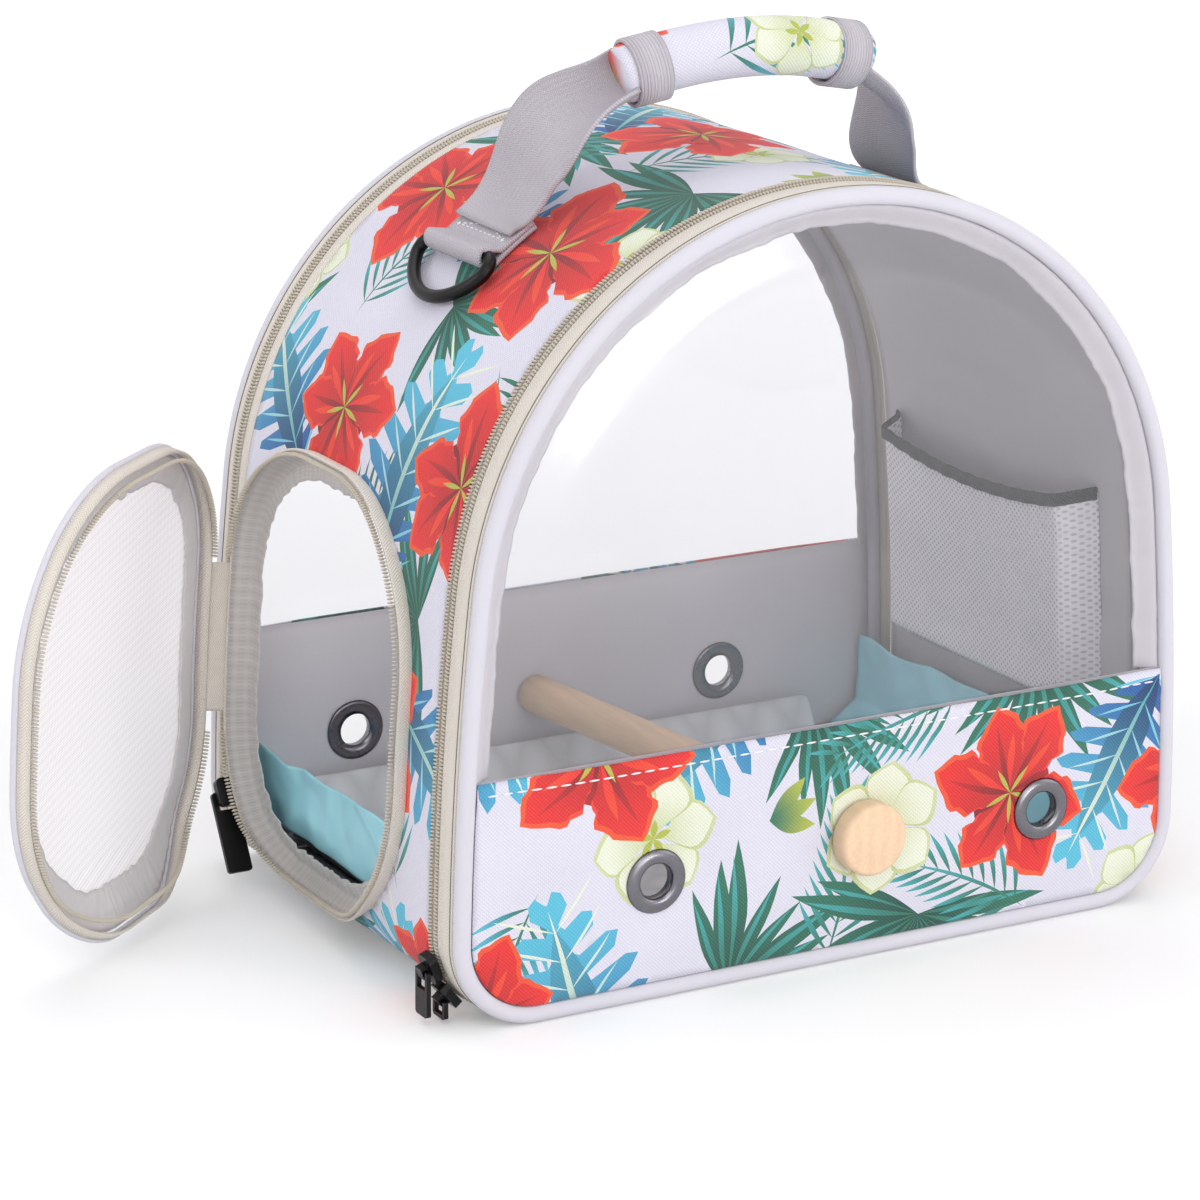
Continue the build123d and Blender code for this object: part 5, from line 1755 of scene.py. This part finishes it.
# ---- floor pad --------------------------------------------------------------------------------
def make_pad_film():
    """The crinkled film under the pad, turned up along the walls."""
    film_low, film_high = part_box("pad_film")
    bottom, top, bend_x, bend_z = film_low[2], film_high[2], film_high[0], 22 * MM
    flat_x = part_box("pad_core")[1][0] + 3 * MM
    left = [Vector((-bend_x, 0, top)), Vector((-bend_x, 0, bend_z)), Vector((-flat_x, 0, bottom + 0.4 * MM))]
    profile = left + [Vector((-p.x, 0, p.z)) for p in reversed(left)]
    runs = distances(profile)

    def place(u, y):
        index = max(i for i in range(len(runs) - 1) if runs[i] <= u + 1e-9)
        part = (u - runs[index]) / (runs[index + 1] - runs[index])
        point = profile[index].lerp(profile[index + 1], part)
        raised = smooth_step((point.z - bottom - 2 * MM) / (12 * MM))
        side = 1 if point.x > 0 else -1
        fold = 2.2 * abs(ripple(u, y, 3.0, 0.03)) + 1.2 * ripple(u, y, 5.0, 0.012)
        drop = 5 * MM * raised * abs(ripple(0, y, 7.0, 0.04)) * smooth_step((point.z - bend_z) / (20 * MM))
        return Vector((point.x - side * (fold - 0.4) * raised * MM, y, point.z - drop))

    us, ys = spread(0, runs[-1], 260), spread(film_low[1], film_high[1], 110)
    film = sheet("pad_backing", us, ys, place, "pad_film")
    settled(thicken(film, 0.4 * MM), "floor_pad", "pad_film", "pad_film")


def make_pad_top():
    """The quilted top: a closed skin, turned up at its two ends and pinned along its quilting."""
    core_low, core_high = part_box("pad_core")
    columns, rows = 53, 45
    thick, quilting, turn_up = 3 * MM, 22 * MM, 16 * MM
    xs, ys = spread(core_low[0], core_high[0], columns), spread(core_low[1], core_high[1], rows)
    points, pins, upper = [], [], columns * rows
    for layer in (0, 1):
        for x, y in ((x, y) for x in xs for y in ys):
            raised = smooth_step((abs(y) - core_high[1] + turn_up) / turn_up)
            lift = raised * raised * (core_high[2] - core_low[2] - 5 * MM)
            sink = 2.0 * MM * raised if layer else 0.0
            height = core_low[2] + lift + layer * thick * (1 - 0.5 * raised)
            points.append(Vector((x, y - math.copysign(sink, y), height)))
            seam = min(abs((run / quilting) % 1 - 0.5) for run in (x + y, x - y))
            pins.append(layer == 0 or seam < 0.1)
    faces = []
    for i in range(columns - 1):
        for j in range(rows - 1):
            a = i * rows + j
            faces.append((a, a + 1, a + rows + 1, a + rows))
            faces.append((upper + a, upper + a + rows, upper + a + rows + 1, upper + a + 1))
    rim = [i * rows for i in range(columns)] + [(columns - 1) * rows + j for j in range(1, rows)]
    rim += [i * rows + rows - 1 for i in reversed(range(columns - 1))] + list(reversed(range(1, rows - 1)))
    faces += [(a, b, upper + b, upper + a) for a, b in zip(rim, rim[1:] + rim[:1])]
    core = mesh_piece("pad_top", puff(points, faces, pins, 1.6 * MM), faces, "pad_core")
    face_outwards(core)
    core.modifiers.new("Smooth", "SUBSURF").render_levels = 1
    settle(core)
    settled(core, "floor_pad", "pad_core", "pad_core")


# ---- metal and other parts kept from the frame ------------------------------------------------
KEPT = {
    "dark_metal": (
        "d_ring_left", "d_ring_right", "front_slider_lead", "front_slider_stop", "front_lead_pull",
        "front_stop_ring", "rear_slider", "rear_pull", "side_slider", "side_pull",
    ),
    "steel": ("front_knob_screw", "rear_knob_screw", "front_hoop_wire", "rear_hoop_wire"),
}


def dress_kept_nodes():
    """Gives the hard frame nodes that stay in view their finishes."""
    for finish_name, nodes in KEPT.items():
        for name in nodes:
            materials = frame["nodes"][name].data.materials
            materials.clear()
            materials.append(finish(finish_name))


# ---- stage ------------------------------------------------------------------------------------
LAMPS = (  # name, place, size, power
    ("key", (-1.0, -1.5, 1.7), 1.3, 11.0), ("fill", (1.7, -1.1, 1.1), 1.4, 7.0),
    ("top", (0.1, 0.5, 2.1), 1.6, 12.0), ("left", (-1.9, 0.3, 0.8), 1.0, 10.0),
    ("front", (0.1, -2.0, 0.6), 1.2, 12.0),
)
LAMP_TARGET = Vector((0, 0, 0.12))
STRIP_LOW, STRIP_HIGH = Vector((0.28, -1.54, 0.03)), Vector((0.636, -1.447, 0.294))
STRIP_WIDTH, STRIP_POWER = 0.07, 2.5
CAMERA_PLACE = Vector((-0.7226, -1.2091, 0.5212))
CAMERA_YAW, CAMERA_PITCH, CAMERA_ROLL = math.radians(-29.6), math.radians(16.6), math.radians(0.6)
CAMERA_LENS = 127.947


def straight_or_mirrored(nodes):
    """1 for rays from the camera, through film or off metal, 0 for those that light a surface."""
    rays = nodes.add("ShaderNodeLightPath").outputs
    seen = nodes.math("MAXIMUM", rays["Is Camera Ray"], rays["Is Transmission Ray"])
    return nodes.math("MAXIMUM", seen, rays["Is Glossy Ray"])


def on_stage(name, data, place, turn=None):
    """A lamp or camera at its place, turned by a matrix or towards the object."""
    thing = bpy.data.objects.new(name, data)
    bpy.context.scene.collection.objects.link(thing)
    turn = turn or (LAMP_TARGET - place).to_track_quat("-Z", "Y").to_matrix()
    thing.matrix_world = Matrix.Translation(place) @ turn.to_4x4()
    return thing


def area_lamp(name, size, power):
    light = bpy.data.lights.new(name, "AREA")
    light.size, light.energy = size, power
    return light


def make_room():
    """A white room for the eye that lights the object at a plain level, and a pale floor."""
    world = bpy.data.worlds.new("room")
    bpy.context.scene.world = world
    world.use_nodes = True
    nodes = Nodes(world.node_tree)
    soft = nodes.add("ShaderNodeBackground", Color=(0.9, 0.91, 0.94, 1), Strength=0.6)
    white = nodes.add("ShaderNodeBackground", Color=(1, 1, 1, 1), Strength=1.0)
    both = nodes.mix_shader(straight_or_mirrored(nodes), soft.outputs[0], white.outputs[0])
    nodes.put(nodes.add("ShaderNodeOutputWorld").inputs[0], both)

    floor = sheet("floor", spread(-4, 4, 3), spread(-4, 4, 3), lambda x, y: Vector((x, y, 0)))
    material, nodes, shader = start_finish(Base_Color=(0.8, 0.8, 0.8, 1), Roughness=0.95,
                                           Specular_IOR_Level=0.0, Emission_Color=(1, 1, 1, 1))
    material.name = "carrier_floor"
    apart = nodes.add("ShaderNodeVectorMath", {"operation": "LENGTH"}, Vector=nodes.place())
    glow = nodes.add("ShaderNodeMapRange", Value=apart.outputs["Value"], From_Min=0.3, From_Max=1.6,
                     To_Min=0.2, To_Max=0.52)
    seen = nodes.math("MULTIPLY", straight_or_mirrored(nodes), glow.outputs[0])
    nodes.put(shader.inputs["Emission Strength"], seen)
    floor.data.materials.append(material)
    floor.location.z = extent("base_cover", 2)[0]


def make_lamps():
    """The soft lamps, and a slanted strip that draws a crescent of light on the front film."""
    for name, place, size, power in LAMPS:
        on_stage(name, area_lamp(name, size, power), Vector(place))
    light = area_lamp("strip", (STRIP_HIGH - STRIP_LOW).length, STRIP_POWER)
    light.shape, light.size_y = "RECTANGLE", STRIP_WIDTH
    long_way = (STRIP_HIGH - STRIP_LOW).normalized()
    centre = (STRIP_LOW + STRIP_HIGH) / 2
    away = long_way.cross(centre - LAMP_TARGET).normalized().cross(long_way).normalized()
    if away.dot(LAMP_TARGET - centre) > 0:
        away = -away
    on_stage("strip", light, centre, Matrix((long_way, away.cross(long_way), away)).transposed())


def make_camera():
    """The camera, its roll taken last."""
    level = math.cos(CAMERA_PITCH)
    forward = Vector((-math.sin(CAMERA_YAW) * level, math.cos(CAMERA_YAW) * level, -math.sin(CAMERA_PITCH)))
    right = forward.cross(Z).normalized()
    up = right.cross(forward)
    sine, cosine = math.sin(CAMERA_ROLL), math.cos(CAMERA_ROLL)
    right, up = right * cosine + up * sine, up * cosine - right * sine
    lens = bpy.data.cameras.new("camera")
    lens.sensor_width, lens.lens, lens.clip_start = 36, CAMERA_LENS, 0.05
    scene = bpy.context.scene
    scene.camera = on_stage("camera", lens, CAMERA_PLACE, Matrix((right, up, -forward)).transposed())
    scene.view_settings.view_transform = "Standard"


# ---- operators --------------------------------------------------------------------------------
def done(*names):
    missing = [name for name in names if name not in bpy.data.objects]
    if missing:
        raise RuntimeError(f"not made: {', '.join(missing)}")
    return {"FINISHED"}


class CARRIER_OT_cabin(bpy.types.Operator):
    """Make the printed canvas, base, padding and lining of the cabin"""

    bl_idname = "carrier.cabin"
    bl_label = "Cabin"

    def execute(self, context):
        cabin, door = context.scene.cabin_sizes, context.scene.side_door_sizes
        arch = Arch(cabin)
        make_canvas(arch, door)
        make_padding(arch, cabin, door)
        make_lining(arch, cabin, door)
        make_base(arch)
        return done("canvas", "wall_padding", "cabin_lining", "base_cloth", "base_board_piece")


class CARRIER_OT_cabin_zips(bpy.types.Operator):
    """Make the teeth and tapes at both ends of the cabin"""

    bl_idname = "carrier.cabin_zips"
    bl_label = "Cabin zips"

    def execute(self, context):
        make_cabin_zips(Arch(context.scene.cabin_sizes), context.scene.door_sizes)
        return done("front_cabin_zip", "rear_cabin_zip", "rear_cabin_tape")


class CARRIER_OT_side_opening(bpy.types.Operator):
    """Make the collar, teeth and gathered lining round the side opening"""

    bl_idname = "carrier.side_opening"
    bl_label = "Side opening"

    def execute(self, context):
        scene = context.scene
        make_side_rim(Arch(scene.cabin_sizes), scene.side_door_sizes, scene.door_sizes)
        return done("side_collar", "side_rim_teeth", "side_frill")


class CARRIER_OT_pocket(bpy.types.Operator):
    """Make the net pocket on the right wall"""

    bl_idname = "carrier.pocket"
    bl_label = "Pocket"

    def execute(self, context):
        make_pocket(Arch(context.scene.cabin_sizes), context.scene.cabin_sizes)
        return done("pocket_net", "pocket_top")


class CARRIER_OT_end_doors(bpy.types.Operator):
    """Make the two end doors with their windows, bands and eyelets"""

    bl_idname = "carrier.end_doors"
    bl_label = "End doors"

    def execute(self, context):
        for end in ENDS:
            make_end_door(Arch(context.scene.cabin_sizes), context.scene.door_sizes, end)
        parts = ("door_piping", "door_zip", "band", "eyelet_1")
        return done(*[f"{end}_{part}" for end in ENDS for part in parts])


class CARRIER_OT_perch(bpy.types.Operator):
    """Turn the perch and its knobs"""

    bl_idname = "carrier.perch"
    bl_label = "Perch"

    def execute(self, context):
        make_perch(context.scene.door_sizes)
        return done("perch", "front_perch_knob_piece", "rear_perch_knob_piece")


class CARRIER_OT_side_door(bpy.types.Operator):
    """Make the side door, stored open, and the strip that it turns on"""

    bl_idname = "carrier.side_door"
    bl_label = "Side door"

    def execute(self, context):
        arch, door = Arch(context.scene.cabin_sizes), context.scene.side_door_sizes
        make_side_door(arch, door, context.scene.door_sizes)
        make_side_hinge(arch, door)
        return done("side_door_band", "side_door_net", "side_door_binding", "side_hinge_strip")


class CARRIER_OT_handle(bpy.types.Operator):
    """Make the webbing anchors, straps and padded grip"""

    bl_idname = "carrier.handle"
    bl_label = "Handle"

    def execute(self, context):
        arch, handle = Arch(context.scene.cabin_sizes), context.scene.handle_sizes
        make_anchors(arch, handle)
        make_straps(arch, handle)
        make_grip(handle)
        return done("anchor_left", "anchor_right", "strap_left", "strap_right", "grip")


class CARRIER_OT_pad(bpy.types.Operator):
    """Make the absorbent floor pad"""

    bl_idname = "carrier.pad"
    bl_label = "Floor pad"

    def execute(self, context):
        make_pad_film()
        make_pad_top()
        return done("pad_backing", "pad_top")


class CARRIER_OT_metal(bpy.types.Operator):
    """Give the rings, sliders, screws and wires their finishes"""

    bl_idname = "carrier.metal"
    bl_label = "Metal parts"

    def execute(self, context):
        dress_kept_nodes()
        return {"FINISHED"}


class CARRIER_OT_stage(bpy.types.Operator):
    """Set up the floor, lamps and camera"""

    bl_idname = "carrier.stage"
    bl_label = "Stage"

    def execute(self, context):
        make_room()
        make_lamps()
        make_camera()
        return done("floor", "camera")


STEPS = (
    "cabin", "cabin_zips", "side_opening", "pocket", "end_doors", "perch", "side_door", "handle", "pad",
    "metal", "stage",
)


class CARRIER_PT_panel(bpy.types.Panel):
    """Sizes, colours and steps of the carrier"""

    bl_idname = "CARRIER_PT_panel"
    bl_label = "Bird travel carrier"
    bl_space_type = "VIEW_3D"
    bl_region_type = "UI"
    bl_category = "Carrier"

    def draw(self, context):
        for name in SIZE_GROUPS:
            group = getattr(context.scene, name)
            box = self.layout.box()
            for key in group.__annotations__:
                box.prop(group, key)
        for step in STEPS:
            self.layout.operator(f"carrier.{step}")


SIZE_GROUPS = {
    "cabin_sizes": CabinSizes, "door_sizes": DoorSizes, "side_door_sizes": SideDoorSizes,
    "handle_sizes": HandleSizes, "carrier_colours": CarrierColours,
}
CLASSES = (
    *SIZE_GROUPS.values(),
    CARRIER_OT_cabin, CARRIER_OT_cabin_zips, CARRIER_OT_side_opening, CARRIER_OT_pocket,
    CARRIER_OT_end_doors, CARRIER_OT_perch, CARRIER_OT_side_door, CARRIER_OT_handle, CARRIER_OT_pad,
    CARRIER_OT_metal, CARRIER_OT_stage, CARRIER_PT_panel,
)


def register():
    for item in CLASSES:
        bpy.utils.register_class(item)
    for name, group in SIZE_GROUPS.items():
        setattr(bpy.types.Scene, name, PointerProperty(type=group))


def unregister():
    for name in SIZE_GROUPS:
        delattr(bpy.types.Scene, name)
    for item in reversed(CLASSES):
        bpy.utils.unregister_class(item)


def main():
    for piece in list(bpy.data.objects):
        if piece.name in ("Cube", "Light", "Camera"):
            bpy.data.objects.remove(piece)
    register()
    for step in STEPS:
        getattr(bpy.ops.carrier, step)()


if __name__ == "__main__":
    main()
